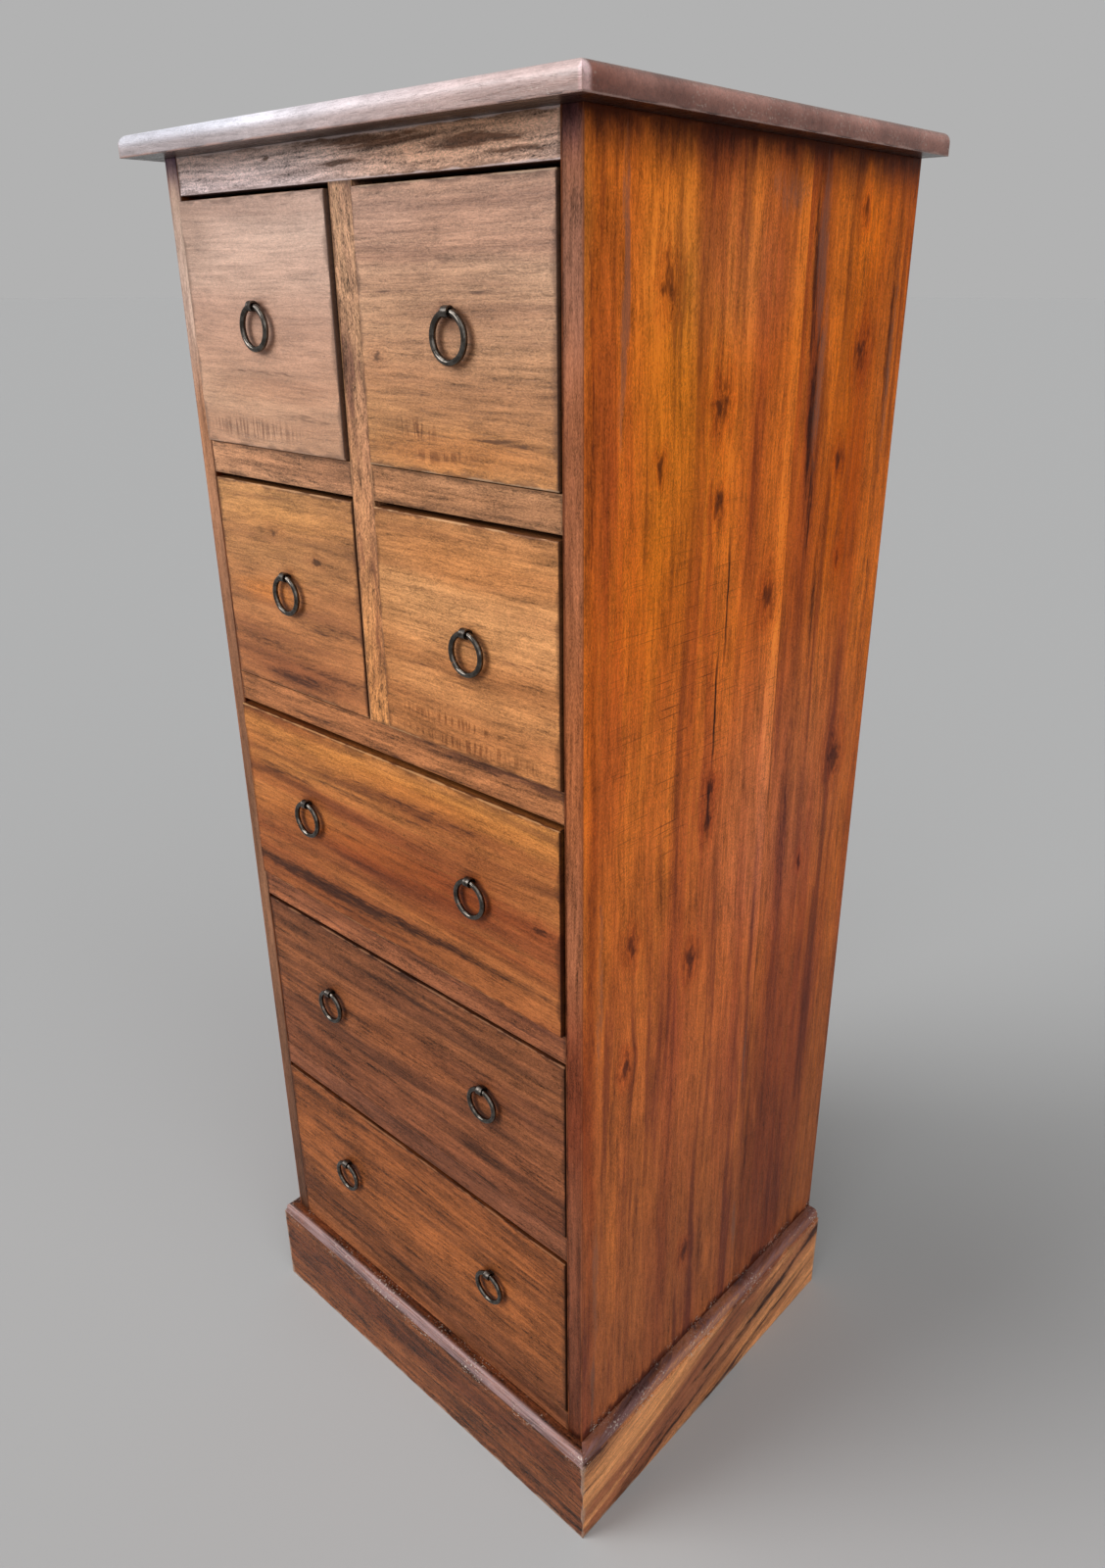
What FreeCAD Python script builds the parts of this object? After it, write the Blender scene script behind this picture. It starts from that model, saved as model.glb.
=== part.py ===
"""An apothecary chest: a tall, narrow chest of four small and three long drawers on a moulded plinth.

Millimetres. +X is to the right of someone facing the drawers, +Y points to the back and +Z up.
The origin lies on the floor, under the middle of the top board.
"""
import os

import FreeCAD
import Part
import Sketcher

doc = FreeCAD.newDocument("apothecary_chest")
dims = doc.addObject("Spreadsheet::Sheet", "dims")

# Driving dimensions: alias, size, what it measures
SIZES = [
    ("carcass_width", 450, "outside of one side panel to the outside of the other"),
    ("carcass_depth", 402, "front edge of a side panel to its back edge"),
    ("carcass_height", 1199, "floor to the underside of the top board"),
    ("side_thickness", 17.5, "side panel"),
    ("top_thickness", 16.5, "top board"),
    ("top_side_overhang", 22.5, "top board past each side panel"),
    ("top_front_overhang", 26, "top board past the front frame"),
    ("top_round", 7.5, "radius along the upper edge of the top board"),
    ("top_rail_height", 27, "rail under the top board"),
    ("rail_height", 26, "rail between two rows of drawers"),
    ("bottom_rail_height", 133, "rail behind and above the plinth"),
    ("rail_depth", 22, "rails and stile, front to back"),
    ("stile_width", 26, "centre stile between the small drawers"),
    ("tenon_length", 8, "tenon into a side panel, a stile or a rail"),
    ("tenon_thickness", 8, "tenon, front to back"),
    ("tenon_shoulder", 4, "shoulder on both narrow sides of a tenon"),
    ("top_row_height", 188, "drawer opening in the top row"),
    ("second_row_height", 183, "drawer opening in the second row"),
    ("third_row_height", 186, "drawer opening in the third row"),
    ("fourth_row_height", 186, "drawer opening in the fourth row"),
    ("fifth_row_height", 192, "drawer opening in the lowest row"),
    ("back_thickness", 6, "back panel, and the depth of its rebate"),
    ("back_rebate", 9, "width of the rebate in each side panel"),
    ("back_foot", 30, "floor to the lower edge of the back panel"),
    ("back_rail_height", 100, "rail between the side panels at the foot of the back"),
    ("partition_thickness", 18, "upright board between the small drawers"),
    ("shelf_thickness", 18, "board under the second row"),
    ("runner_width", 20, "runners and kickers, across the chest"),
    ("block_leg", 32, "short side of a glue block"),
    ("block_height", 80, "glue block"),
    ("plinth_height", 109.5, "floor to the top of the plinth"),
    ("plinth_projection", 14, "plinth past the carcass"),
    ("plinth_face_height", 99, "floor to the arris under the moulding"),
    ("mould_step", 2, "moulding set back from the plinth face"),
    ("mould_round", 6, "radius of the moulding"),
    ("front_thickness", 18, "drawer front"),
    ("front_round", 1.2, "worn radius round a drawer front"),
    ("gap_side", 1.5, "drawer front to the opening, each side"),
    ("gap_above", 4, "drawer front to the rail above"),
    ("gap_below", 1, "drawer front to the rail below"),
    ("run_clearance", 0.3, "drawer side to its runner"),
    ("drawer_back_gap", 24, "behind a drawer that is pushed right home"),
    ("wall_thickness", 12, "drawer sides and back"),
    ("wall_drop", 8, "top of a drawer side below the top of its front"),
    ("back_inset", 10, "drawer back in from the end of the sides"),
    ("housing_depth", 4, "housing for the drawer back in each side"),
    ("bottom_thickness", 5, "drawer bottom, and its groove"),
    ("bottom_lift", 9, "drawer bottom above the lower edge of the sides"),
    ("groove_depth", 6, "groove for the drawer bottom"),
    ("tail_count", 4, "dovetails at the front of each drawer side"),
    ("tail_length", 12, "dovetail into the drawer front"),
    ("tail_width", 24, "dovetail at its wide end"),
    ("tail_slope", 2, "narrowing on each side of a dovetail"),
    ("pull_spacing", 220, "between the two rings of a long drawer"),
    ("pull_rise", 15.5, "eye above the middle of a drawer front"),
    ("top_right_pull_aside", 2.3, "this pull to the right of the middle"),
    ("top_right_pull_drop", 1.4, "this pull below its fellows"),
    ("second_right_pull_aside", 6.3, "this pull to the right of the middle, moved in a repair"),
    ("second_right_pull_drop", 4.5, "this pull below its fellows, moved in a repair"),
    ("fourth_pull_lift", 3, "these two pulls above their fellows"),
    ("ring_radius", 15.6, "ring, to the middle of its wire"),
    ("ring_wire", 4.2, "diameter of the ring's wire"),
    ("ring_split", 1.6, "angle left open where the ends of the wire meet"),
    ("eye_reach", 4.6, "middle of the eye in front of the drawer front"),
    ("eye_bore", 2.8, "radius inside the eye"),
    ("strap_width", 6, "strap of the split pin"),
    ("strap_thickness", 1.2, "strap of the split pin"),
    ("leg_split", 0.4, "between the two legs of the split pin"),
    ("foot_length", 9, "clenched leg inside the drawer"),
    ("slot_clearance", 0.2, "round the legs in the drawer front"),
    ("top_left_proud", 4, "how far this drawer stands out of the frame"),
    ("top_right_proud", 2.5, "how far this drawer stands out of the frame"),
    ("second_left_proud", 1, "how far this drawer stands out of the frame"),
    ("second_right_proud", 2.5, "how far this drawer stands out of the frame"),
    ("third_proud", 4, "how far this drawer stands out of the frame"),
    ("fourth_proud", 0.5, "how far this drawer stands out of the frame"),
    ("fifth_proud", 1.5, "how far this drawer stands out of the frame"),
]
ROWS = ("top_row", "second_row", "third_row", "fourth_row", "fifth_row")

# What follows from them: alias, formula, what it measures
FORMULAS = [
    ("inner_width", "carcass_width - 2 * side_thickness", "between the side panels"),
    ("small_width", "(inner_width - stile_width) / 2", "opening of a small drawer"),
    ("small_middle", "(stile_width + small_width) / 2", "middle of the chest to that of a small drawer"),
    ("front_y", "(top_front_overhang - carcass_depth) / 2", "face of the front frame"),
    ("back_y", "front_y + carcass_depth", "back edges of the side panels"),
    ("behind_rails_y", "front_y + rail_depth", "back of the front frame"),
    ("before_back_y", "back_y - back_thickness", "face of the back panel"),
    ("inside_depth", "before_back_y - behind_rails_y", "front frame to the back panel"),
    ("tenon_setback", "(rail_depth - tenon_thickness) / 2", "tenon behind the face of its rail"),
    ("stile_tenon", "stile_width - 2 * tenon_shoulder", "tenon of the stile, across the chest"),
    ("runner_rise", "gap_below - run_clearance", "runner above the rail in front of it"),
    ("drawer_depth", "carcass_depth - back_thickness - drawer_back_gap", "drawer, front to back"),
    ("rows_together", " + ".join(f"{row}_height" for row in ROWS), "the five rows of openings"),
    ("rails_between", f"{len(ROWS) - 1} * rail_height", "the rails that part them"),
    ("rows_room", "carcass_height - top_rail_height - rails_between - bottom_rail_height", "room for them"),
    ("rows_stretch", "rows_room / rows_together", "what fits the rows to a taller or lower carcass"),
]
above = "carcass_height - top_rail_height"
for row in ROWS:
    FORMULAS.append((f"{row}_opening", f"{row}_height * rows_stretch", "opening of this row, as fitted"))
    FORMULAS.append((f"{row}_top", above, "upper edge of this row, under its rail"))
    FORMULAS.append((f"{row}_bottom", f"{row}_top - {row}_opening", "lower edge of this row"))
    above = f"{row}_bottom - rail_height"

cells = [(alias, str(size), meaning) for alias, size, meaning in SIZES]
cells += [(alias, f"={formula}", meaning) for alias, formula, meaning in FORMULAS]
for line, (alias, content, meaning) in enumerate(cells, start=1):
    dims.set(f"A{line}", alias)
    dims.set(f"B{line}", content)
    dims.setAlias(f"B{line}", alias)
    dims.set(f"C{line}", meaning)
doc.recompute()

# Each rail: its lower edge and its height
rails = {
    "top_rail": ("dims.top_row_top", "dims.top_rail_height"),
    "row_rail": ("dims.second_row_top", "dims.rail_height"),
    "middle_rail": ("dims.third_row_top", "dims.rail_height"),
    "lower_rail": ("dims.fourth_row_top", "dims.rail_height"),
    "lowest_rail": ("dims.fifth_row_top", "dims.rail_height"),
    "bottom_rail": ("0", "dims.bottom_rail_height"),
}
RING_SEAM = 215  # degrees round a ring, from its right, to where its wire ends
WIRE_SIDES = 8

nodes = []
NEAR = 1e-6  # two places closer than this are one


def number(expression):
    """The present value of an expression."""
    return float(dims.evalExpression(expression))


def node(thing, label):
    """Names a finished piece and lists it for its file."""
    thing.Label = label
    nodes.append(thing)
    return thing


def place(thing, x, y, z):
    """Ties the place of a piece to the sheet."""
    for axis, expression in zip("xyz", (x, y, z)):
        thing.setExpression(f"Placement.Base.{axis}", expression)
    return thing


def solid(kind, name, **sizes):
    """A primitive solid with its sizes tied to the sheet."""
    thing = doc.addObject(f"Part::{kind}", name)
    for size, expression in sizes.items():
        thing.setExpression(size, expression)
    return thing


def board(name, size, corner):
    """A plain sawn board: its three sizes and its left, front, lower corner."""
    length, width, height = size
    return place(solid("Box", name, Length=length, Width=width, Height=height), *corner)


def group(name, pieces):
    """Several separate solids that share one node."""
    compound = doc.addObject("Part::Compound", name)
    compound.Links = pieces
    return compound


def mirrored(name, source, middle_x="0"):
    """The other hand of a piece, across an upright plane."""
    mirror = doc.addObject("Part::Mirroring", name)
    mirror.Source = source
    mirror.Normal = FreeCAD.Vector(1, 0, 0)
    mirror.setExpression("Base.x", middle_x)
    return mirror


def sketch_on(body, role, offset="0"):
    """A sketch on one of the body's own origin planes, moved along the plane's normal."""
    plane = next(item for item in body.Origin.OriginFeatures if item.Role == role)
    sketch = body.newObject("Sketcher::SketchObject", "outline")
    sketch.AttachmentSupport = (plane, [""])
    sketch.MapMode = "FlatFace"
    sketch.setExpression("AttachmentOffset.Base.z", offset)
    return sketch


def outline(sketch, corners):
    """A closed outline through corners, which are pairs of expressions from the sketch's origin.

    A third expression is the radius of a quarter turn to the next corner, with its middle under its start.
    """
    points = [FreeCAD.Vector(number(corner[0]), number(corner[1]), 0) for corner in corners]
    first = sketch.GeometryCount
    for index, (start, corner) in enumerate(zip(points, corners)):
        end = points[(index + 1) % len(points)]
        radius = corner[2:]
        if radius:
            middle = FreeCAD.Vector(start.x, end.y, 0)
            circle = Part.Circle(middle, FreeCAD.Vector(0, 0, 1), number(*radius))
            arc = Part.ArcOfCircle(circle, circle.parameter(start), circle.parameter(end))
            sketch.addGeometry(arc)
        else:
            sketch.addGeometry(Part.LineSegment(start, end))
    for index, corner in enumerate(corners):
        here = first + index
        following = first + (index + 1) % len(corners)
        sketch.addConstraint(Sketcher.Constraint("Coincident", here, 2, following, 1))
        for kind, expression in zip(("DistanceX", "DistanceY"), corner):
            pinned = Sketcher.Constraint(kind, -1, 1, here, 1, number(expression))
            sketch.setExpression(f"Constraints[{sketch.addConstraint(pinned)}]", expression)
        for radius in corner[2:]:
            rounded = Sketcher.Constraint("Radius", here, number(radius))
            sketch.setExpression(f"Constraints[{sketch.addConstraint(rounded)}]", radius)
    return sketch


def rectangle(sketch, left, low, width, height):
    """A rectangle from its left, lower corner."""
    right = f"({left} + {width})"
    high = f"({low} + {height})"
    return outline(sketch, [(left, low), (right, low), (right, high), (left, high)])


def pad(body, sketch, length):
    """Raises a sketch along its normal."""
    feature = body.newObject("PartDesign::Pad", "pad")
    feature.Profile = sketch
    feature.setExpression("Length", length)
    doc.recompute()
    return feature


def pocket(body, sketch, length):
    """Cuts a sketch along its normal, and has to take wood away."""
    before = body.Shape.Volume
    feature = body.newObject("PartDesign::Pocket", "pocket")
    feature.Profile = sketch
    feature.Reversed = True
    feature.setExpression("Length", length)
    doc.recompute()
    if body.Shape.Volume >= before:
        raise ValueError(f"{body.Name}: a pocket cuts nothing")
    return feature


def repeat_upwards(body, feature, sketch, length, count):
    """Repeats a feature along the upright axis of its sketch."""
    pattern = body.newObject("PartDesign::LinearPattern", "pattern")
    pattern.Originals = [feature]
    pattern.Direction = (sketch, ["V_Axis"])
    pattern.setExpression("Length", length)
    pattern.setExpression("Occurrences", count)
    body.Tip = pattern
    doc.recompute()


def round_edges(body, feature, radius, wanted):
    """Rounds the edges of a feature whose middles pass a test."""
    edges = enumerate(feature.Shape.Edges, start=1)
    names = [f"Edge{index}" for index, edge in edges if wanted(edge.CenterOfMass)]
    fillet = body.newObject("PartDesign::Fillet", "rounded")
    fillet.Base = (feature, names)
    fillet.setExpression("Radius", radius)
    doc.recompute()


def top_board():
    """The top: its upper edge is rounded at the front and both ends, and square at the back."""
    width = "(dims.carcass_width + 2 * dims.top_side_overhang)"
    depth = "(dims.carcass_depth + dims.top_front_overhang)"
    body = doc.addObject("PartDesign::Body", "top_board")
    slab = pad(body, rectangle(sketch_on(body, "XY_Plane"), "0", "0", width, depth), "dims.top_thickness")
    upper = slab.Shape.BoundBox.ZMax
    back = slab.Shape.BoundBox.YMax
    round_edges(body, slab, "dims.top_round",
                lambda middle: middle.z > upper - NEAR and middle.y < back - NEAR)
    place(body, f"-{width} / 2", f"-{depth} / 2", "dims.carcass_height")
    node(body, "top_board")


def side_panels():
    """Two boards, each rebated for the back and mortised for the rails."""
    body = doc.addObject("PartDesign::Body", "side_right")
    pad(body, rectangle(sketch_on(body, "XY_Plane"), "0", "0", "dims.side_thickness", "dims.carcass_depth"),
        "dims.carcass_height")
    rebate = rectangle(sketch_on(body, "XY_Plane"), "0", "(dims.carcass_depth - dims.back_thickness)",
                       "dims.back_rebate", "dims.back_thickness")
    pocket(body, rebate, "dims.carcass_height")
    mortises = sketch_on(body, "YZ_Plane")
    for low, height in rails.values():
        rectangle(mortises, "dims.tenon_setback", f"({low} + dims.tenon_shoulder)", "dims.tenon_thickness",
                  f"({height} - 2 * dims.tenon_shoulder)")
    pocket(body, mortises, "dims.tenon_length")
    place(body, "dims.inner_width / 2", "dims.front_y", "0")
    node(body, "side_right")
    node(mirrored("side_left", body), "side_left")


def rail(label, kind, left, length, stile_mortise=None):
    """A cross rail, tenoned at both ends, with a mortise for the stile at a height if it meets one."""
    low, height = rails[kind]
    body = doc.addObject("PartDesign::Body", label)
    pad(body, rectangle(sketch_on(body, "YZ_Plane"), "0", "0", "dims.rail_depth", height), length)
    tenon = rectangle(sketch_on(body, "YZ_Plane", "-dims.tenon_length"), "dims.tenon_setback",
                      "dims.tenon_shoulder", "dims.tenon_thickness", f"({height} - 2 * dims.tenon_shoulder)")
    pad(body, tenon, f"{length} + 2 * dims.tenon_length")
    if stile_mortise:
        mortise = rectangle(sketch_on(body, "XY_Plane", stile_mortise),
                            f"({length} / 2 - dims.stile_tenon / 2)", "dims.tenon_setback",
                            "dims.stile_tenon", "dims.tenon_thickness")
        pocket(body, mortise, "dims.tenon_length")
    place(body, left, "dims.front_y", low)
    node(body, label)


def centre_stile():
    """The upright between the small drawers, tenoned into two rails and mortised for two more."""
    height = "(dims.top_row_top - dims.second_row_bottom)"
    body = doc.addObject("PartDesign::Body", "centre_stile")
    section = rectangle(sketch_on(body, "XY_Plane"), "0", "0", "dims.stile_width", "dims.rail_depth")
    pad(body, section, height)
    tenon = rectangle(sketch_on(body, "XY_Plane", "-dims.tenon_length"), "dims.tenon_shoulder",
                      "dims.tenon_setback", "dims.stile_tenon", "dims.tenon_thickness")
    pad(body, tenon, f"{height} + 2 * dims.tenon_length")
    for face in ("0", "dims.stile_width - dims.tenon_length"):
        mortise = rectangle(sketch_on(body, "YZ_Plane", face), "dims.tenon_setback",
                            "(dims.second_row_opening + dims.tenon_shoulder)", "dims.tenon_thickness",
                            "(dims.rail_height - 2 * dims.tenon_shoulder)")
        pocket(body, mortise, "dims.tenon_length")
    place(body, "-dims.stile_width / 2", "dims.front_y", "dims.second_row_bottom")
    node(body, "centre_stile")


def inside_boards():
    """The back, the shelf under the small drawers, the partition between them and the foot rail."""
    back_width = "(dims.inner_width + 2 * dims.back_rebate)"
    back = board("back_panel", (back_width, "dims.back_thickness", "dims.carcass_height - dims.back_foot"),
                 (f"-{back_width} / 2", "dims.before_back_y", "dims.back_foot"))
    node(back, "back_panel")
    shelf_top = "(dims.second_row_bottom + dims.runner_rise)"
    shelf = board("shelf", ("dims.inner_width", "dims.inside_depth", "dims.shelf_thickness"),
                  ("-dims.inner_width / 2", "dims.behind_rails_y", f"{shelf_top} - dims.shelf_thickness"))
    node(shelf, "shelf")
    partition_height = f"dims.carcass_height - {shelf_top}"
    partition = board("partition", ("dims.partition_thickness", "dims.inside_depth", partition_height),
                      ("-dims.partition_thickness / 2", "dims.behind_rails_y", shelf_top))
    node(partition, "partition")
    back_rail = board("back_rail", ("dims.inner_width", "dims.rail_depth", "dims.back_rail_height"),
                      ("-dims.inner_width / 2", "dims.before_back_y - dims.rail_depth", "0"))
    node(back_rail, "back_rail")


def strips(label, height, at):
    """Strips along the depth of the chest, on the side panels or the partition."""
    size = ("dims.runner_width", "dims.inside_depth", height)
    pieces = [board("strip", size, (left, "dims.behind_rails_y", low)) for left, low in at]
    node(group(label, pieces), label)


def runners_and_kickers():
    """What the drawers slide on, and what keeps the top row from tipping. The second row has the shelf."""
    outer = ("-dims.inner_width / 2", "dims.inner_width / 2 - dims.runner_width")
    inner = ("-dims.partition_thickness / 2 - dims.runner_width", "dims.partition_thickness / 2")
    at = []
    for row in ("top_row", "third_row", "fourth_row", "fifth_row"):
        low = f"dims.{row}_bottom + dims.runner_rise - dims.rail_height"
        sides = outer + inner if row == "top_row" else outer
        at += [(left, low) for left in sides]
    strips("drawer_runners", "dims.rail_height", at)
    strips("top_kickers", "dims.top_rail_height", [(left, "dims.top_row_top") for left in outer + inner])


def corner_blocks():
    """Three-sided glue blocks in the four corners at the foot of the carcass."""
    before_back_rail = "dims.before_back_y - dims.rail_depth"
    left = "-dims.inner_width / 2"
    right = "dims.inner_width / 2"
    corners = ((left, "dims.behind_rails_y"), (right, "dims.behind_rails_y"),
               (right, before_back_rail), (left, before_back_rail))
    blocks = []
    for quarter, (x, y) in enumerate(corners):
        body = doc.addObject("PartDesign::Body", "corner_block")
        triangle = [("0", "0"), ("dims.block_leg", "0"), ("0", "dims.block_leg")]
        pad(body, outline(sketch_on(body, "XY_Plane"), triangle), "dims.block_height")
        body.Placement.Rotation = FreeCAD.Rotation(FreeCAD.Vector(0, 0, 1), 90 * quarter)
        blocks.append(place(body, x, y, "dims.back_rail_height - dims.block_height"))
    node(group("corner_blocks", blocks), "corner_blocks")


def plinth_board(label, length, mitred_ends):
    """A moulded board, worked along X with its face at Y = 0, mitred at one or both ends."""
    deep = "dims.plinth_projection"
    profile = [("0", "0"), (deep, "0"), (deep, "dims.plinth_height"),
               ("(dims.mould_step + dims.mould_round)", "dims.plinth_height", "dims.mould_round"),
               ("dims.mould_step", "(dims.plinth_height - dims.mould_round)"),
               ("dims.mould_step", "dims.plinth_face_height"), ("0", "dims.plinth_face_height")]
    body = doc.addObject("PartDesign::Body", label)
    pad(body, outline(sketch_on(body, "YZ_Plane"), profile), length)
    mitres = sketch_on(body, "XY_Plane")
    outline(mitres, [("0", "0"), (deep, deep), ("0", deep)])
    if mitred_ends == 2:
        outline(mitres, [(length, "0"), (length, deep), (f"({length} - {deep})", deep)])
    pocket(body, mitres, "dims.plinth_height")
    return node(body, label)


def plinth():
    """Three moulded boards round the foot, mitred at the front corners and square at the back."""
    corner_x = "(dims.carcass_width / 2 + dims.plinth_projection)"
    corner_y = "(dims.front_y - dims.plinth_projection)"
    front = plinth_board("plinth_front", f"(2 * {corner_x})", 2)
    place(front, f"-{corner_x}", corner_y, "0")
    right = plinth_board("plinth_right", "(dims.carcass_depth + dims.plinth_projection)", 1)
    right.Placement.Rotation = FreeCAD.Rotation(FreeCAD.Vector(0, 0, 1), 90)
    place(right, corner_x, corner_y, "0")
    node(mirrored("plinth_left", right), "plinth_left")


def tail(sketch, wall_height):
    """One dovetail, seen from the end of a drawer front: narrow at the back, wide inside the front."""
    middle = f"({wall_height} / dims.tail_count / 2)"
    wide = "dims.tail_width / 2"
    narrow = "(dims.tail_width / 2 - dims.tail_slope)"
    inner = "(dims.front_thickness - dims.tail_length)"
    return outline(sketch, [("dims.front_thickness", f"({middle} - {narrow})"),
                            ("dims.front_thickness", f"({middle} + {narrow})"),
                            (inner, f"({middle} + {wide})"), (inner, f"({middle} - {wide})")])


def drawer_front(label, width, height, wall_height, pulls, corner):
    """A drawer front: worn edges, sockets for the dovetails, a groove and a slot for each pull."""
    body = doc.addObject("PartDesign::Body", label)
    slab = pad(body, rectangle(sketch_on(body, "XY_Plane"), f"(-{width} / 2)", "0", width,
                               "dims.front_thickness"), height)
    round_edges(body, slab, "dims.front_round", lambda middle: middle.y < NEAR)
    for end in (f"-{width} / 2", f"{width} / 2 - dims.wall_thickness"):
        sketch = tail(sketch_on(body, "YZ_Plane", end), wall_height)
        socket = pocket(body, sketch, "dims.wall_thickness")
        repeat_upwards(body, socket, sketch, f"{wall_height} * (1 - 1 / dims.tail_count)", "dims.tail_count")
    groove_width = f"({width} - 2 * (dims.wall_thickness - dims.groove_depth))"
    groove = rectangle(sketch_on(body, "XY_Plane", "dims.bottom_lift"), f"(-{groove_width} / 2)",
                       "(dims.front_thickness - dims.groove_depth)", groove_width, "dims.groove_depth")
    pocket(body, groove, "dims.bottom_thickness")
    legs = "(2 * dims.strap_thickness + dims.leg_split + 2 * dims.slot_clearance)"
    slot_width = "(dims.strap_width + 2 * dims.slot_clearance)"
    slots = sketch_on(body, "XZ_Plane", "-dims.front_thickness")
    for x, rise in pulls:
        low = f"({height} / 2 + {rise} - {legs} / 2)"
        rectangle(slots, f"({x} - {slot_width} / 2)", low, slot_width, legs)
    pocket(body, slots, "dims.front_thickness")
    return node(place(body, *corner), label)


def drawer_walls(label, width, wall_height, corner):
    """Two dovetailed sides with the back housed between them, standing over the bottom's groove."""
    x, y, z = corner
    body = doc.addObject("PartDesign::Body", "drawer_side")
    outside = f"-{width} / 2"
    inside = f"(-{width} / 2 + dims.wall_thickness)"
    length = "(dims.drawer_depth - dims.front_thickness)"
    plank = sketch_on(body, "YZ_Plane", outside)
    pad(body, rectangle(plank, "dims.front_thickness", "0", length, wall_height), "dims.wall_thickness")
    sketch = tail(sketch_on(body, "YZ_Plane", outside), wall_height)
    tails = pad(body, sketch, "dims.wall_thickness")
    repeat_upwards(body, tails, sketch, f"{wall_height} * (1 - 1 / dims.tail_count)", "dims.tail_count")
    groove = rectangle(sketch_on(body, "XY_Plane", "dims.bottom_lift"), f"({inside} - dims.groove_depth)",
                       "(dims.front_thickness - dims.groove_depth)", "dims.groove_depth",
                       f"({length} + dims.groove_depth)")
    pocket(body, groove, "dims.bottom_thickness")
    back_low = "(dims.bottom_lift + dims.bottom_thickness)"
    back_front = "(dims.drawer_depth - dims.back_inset - dims.wall_thickness)"
    housing = rectangle(sketch_on(body, "XY_Plane", back_low), f"({inside} - dims.housing_depth)", back_front,
                        "dims.housing_depth", "dims.wall_thickness")
    pocket(body, housing, f"{wall_height} - {back_low}")
    place(body, x, y, z)
    other = mirrored("drawer_side_right", body, x)
    back_width = f"({width} - 2 * (dims.wall_thickness - dims.housing_depth))"
    back = board("drawer_back", (back_width, "dims.wall_thickness", f"{wall_height} - {back_low}"),
                 (f"{x} - {back_width} / 2", f"{y} + {back_front}", f"{z} + {back_low}"))
    return node(group(label, [body, other, back]), label)


def drawer_bottom(label, width, corner):
    """A thin panel that slides into the grooves from the back, under the drawer back."""
    x, y, z = corner
    panel_width = f"({width} - 2 * (dims.wall_thickness - dims.groove_depth))"
    panel_front = "(dims.front_thickness - dims.groove_depth)"
    panel = board(label, (panel_width, f"dims.drawer_depth - {panel_front}", "dims.bottom_thickness"),
                  (f"{x} - {panel_width} / 2", f"{y} + {panel_front}", f"{z} + dims.bottom_lift"))
    return node(panel, label)


def split_pin(x, y, z):
    """A strap bent round an eye, with its legs through the drawer front and clenched inside.

    x, y, z is the middle of the eye.
    """
    left = f"{x} - dims.strap_width / 2"
    reach = "(dims.eye_reach + dims.front_thickness + dims.strap_thickness)"
    across = FreeCAD.Rotation(FreeCAD.Vector(0, 1, 0), 90)
    loop = solid("Cylinder", "loop", Radius="dims.eye_bore + dims.strap_thickness", Height="dims.strap_width")
    bore = solid("Cylinder", "bore", Radius="dims.eye_bore", Height="dims.strap_width")
    for cylinder in (loop, bore):
        cylinder.Placement.Rotation = across
        place(cylinder, left, y, z)
    both_legs = "(2 * dims.strap_thickness + dims.leg_split)"
    legs = board("legs", ("dims.strap_width", reach, both_legs), (left, y, f"{z} - {both_legs} / 2"))
    feet_height = "2 * dims.foot_length"
    feet = board("feet", ("dims.strap_width", "dims.strap_thickness", feet_height),
                 (left, f"{y} + {reach} - dims.strap_thickness", f"{z} - dims.foot_length"))
    split = board("split", ("dims.strap_width", reach, "dims.leg_split"),
                  (left, y, f"{z} - dims.leg_split / 2"))
    strap = doc.addObject("Part::MultiFuse", "strap")
    strap.Shapes = [loop, legs, feet]
    inside = doc.addObject("Part::MultiFuse", "inside")
    inside.Shapes = [bore, split]
    pin = doc.addObject("Part::Cut", "split_pin")
    pin.Base = strap
    pin.Tool = inside
    return pin


def ring(label, x, y, z):
    """A ring of eight-sided wire that hangs in an eye, its ends meeting low on the left."""
    body = doc.addObject("PartDesign::Body", label)
    turns = [360 / WIRE_SIDES * (side + 0.5) for side in range(WIRE_SIDES)]
    section = [(f"(dims.ring_radius + dims.ring_wire / 2 * cos({turn} deg))",
                f"(dims.ring_wire / 2 * sin({turn} deg))") for turn in turns]
    sketch = outline(sketch_on(body, "XZ_Plane"), section)
    bent = body.newObject("PartDesign::Revolution", "bent")
    bent.Profile = sketch
    bent.ReferenceAxis = (sketch, ["V_Axis"])
    bent.setExpression("Angle", "360 - dims.ring_split")
    upright = FreeCAD.Rotation(FreeCAD.Vector(1, 0, 0), 90)
    body.Placement.Rotation = upright * FreeCAD.Rotation(FreeCAD.Vector(0, 0, 1), RING_SEAM)
    return node(place(body, x, y, f"{z} - dims.ring_radius"), label)


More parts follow.
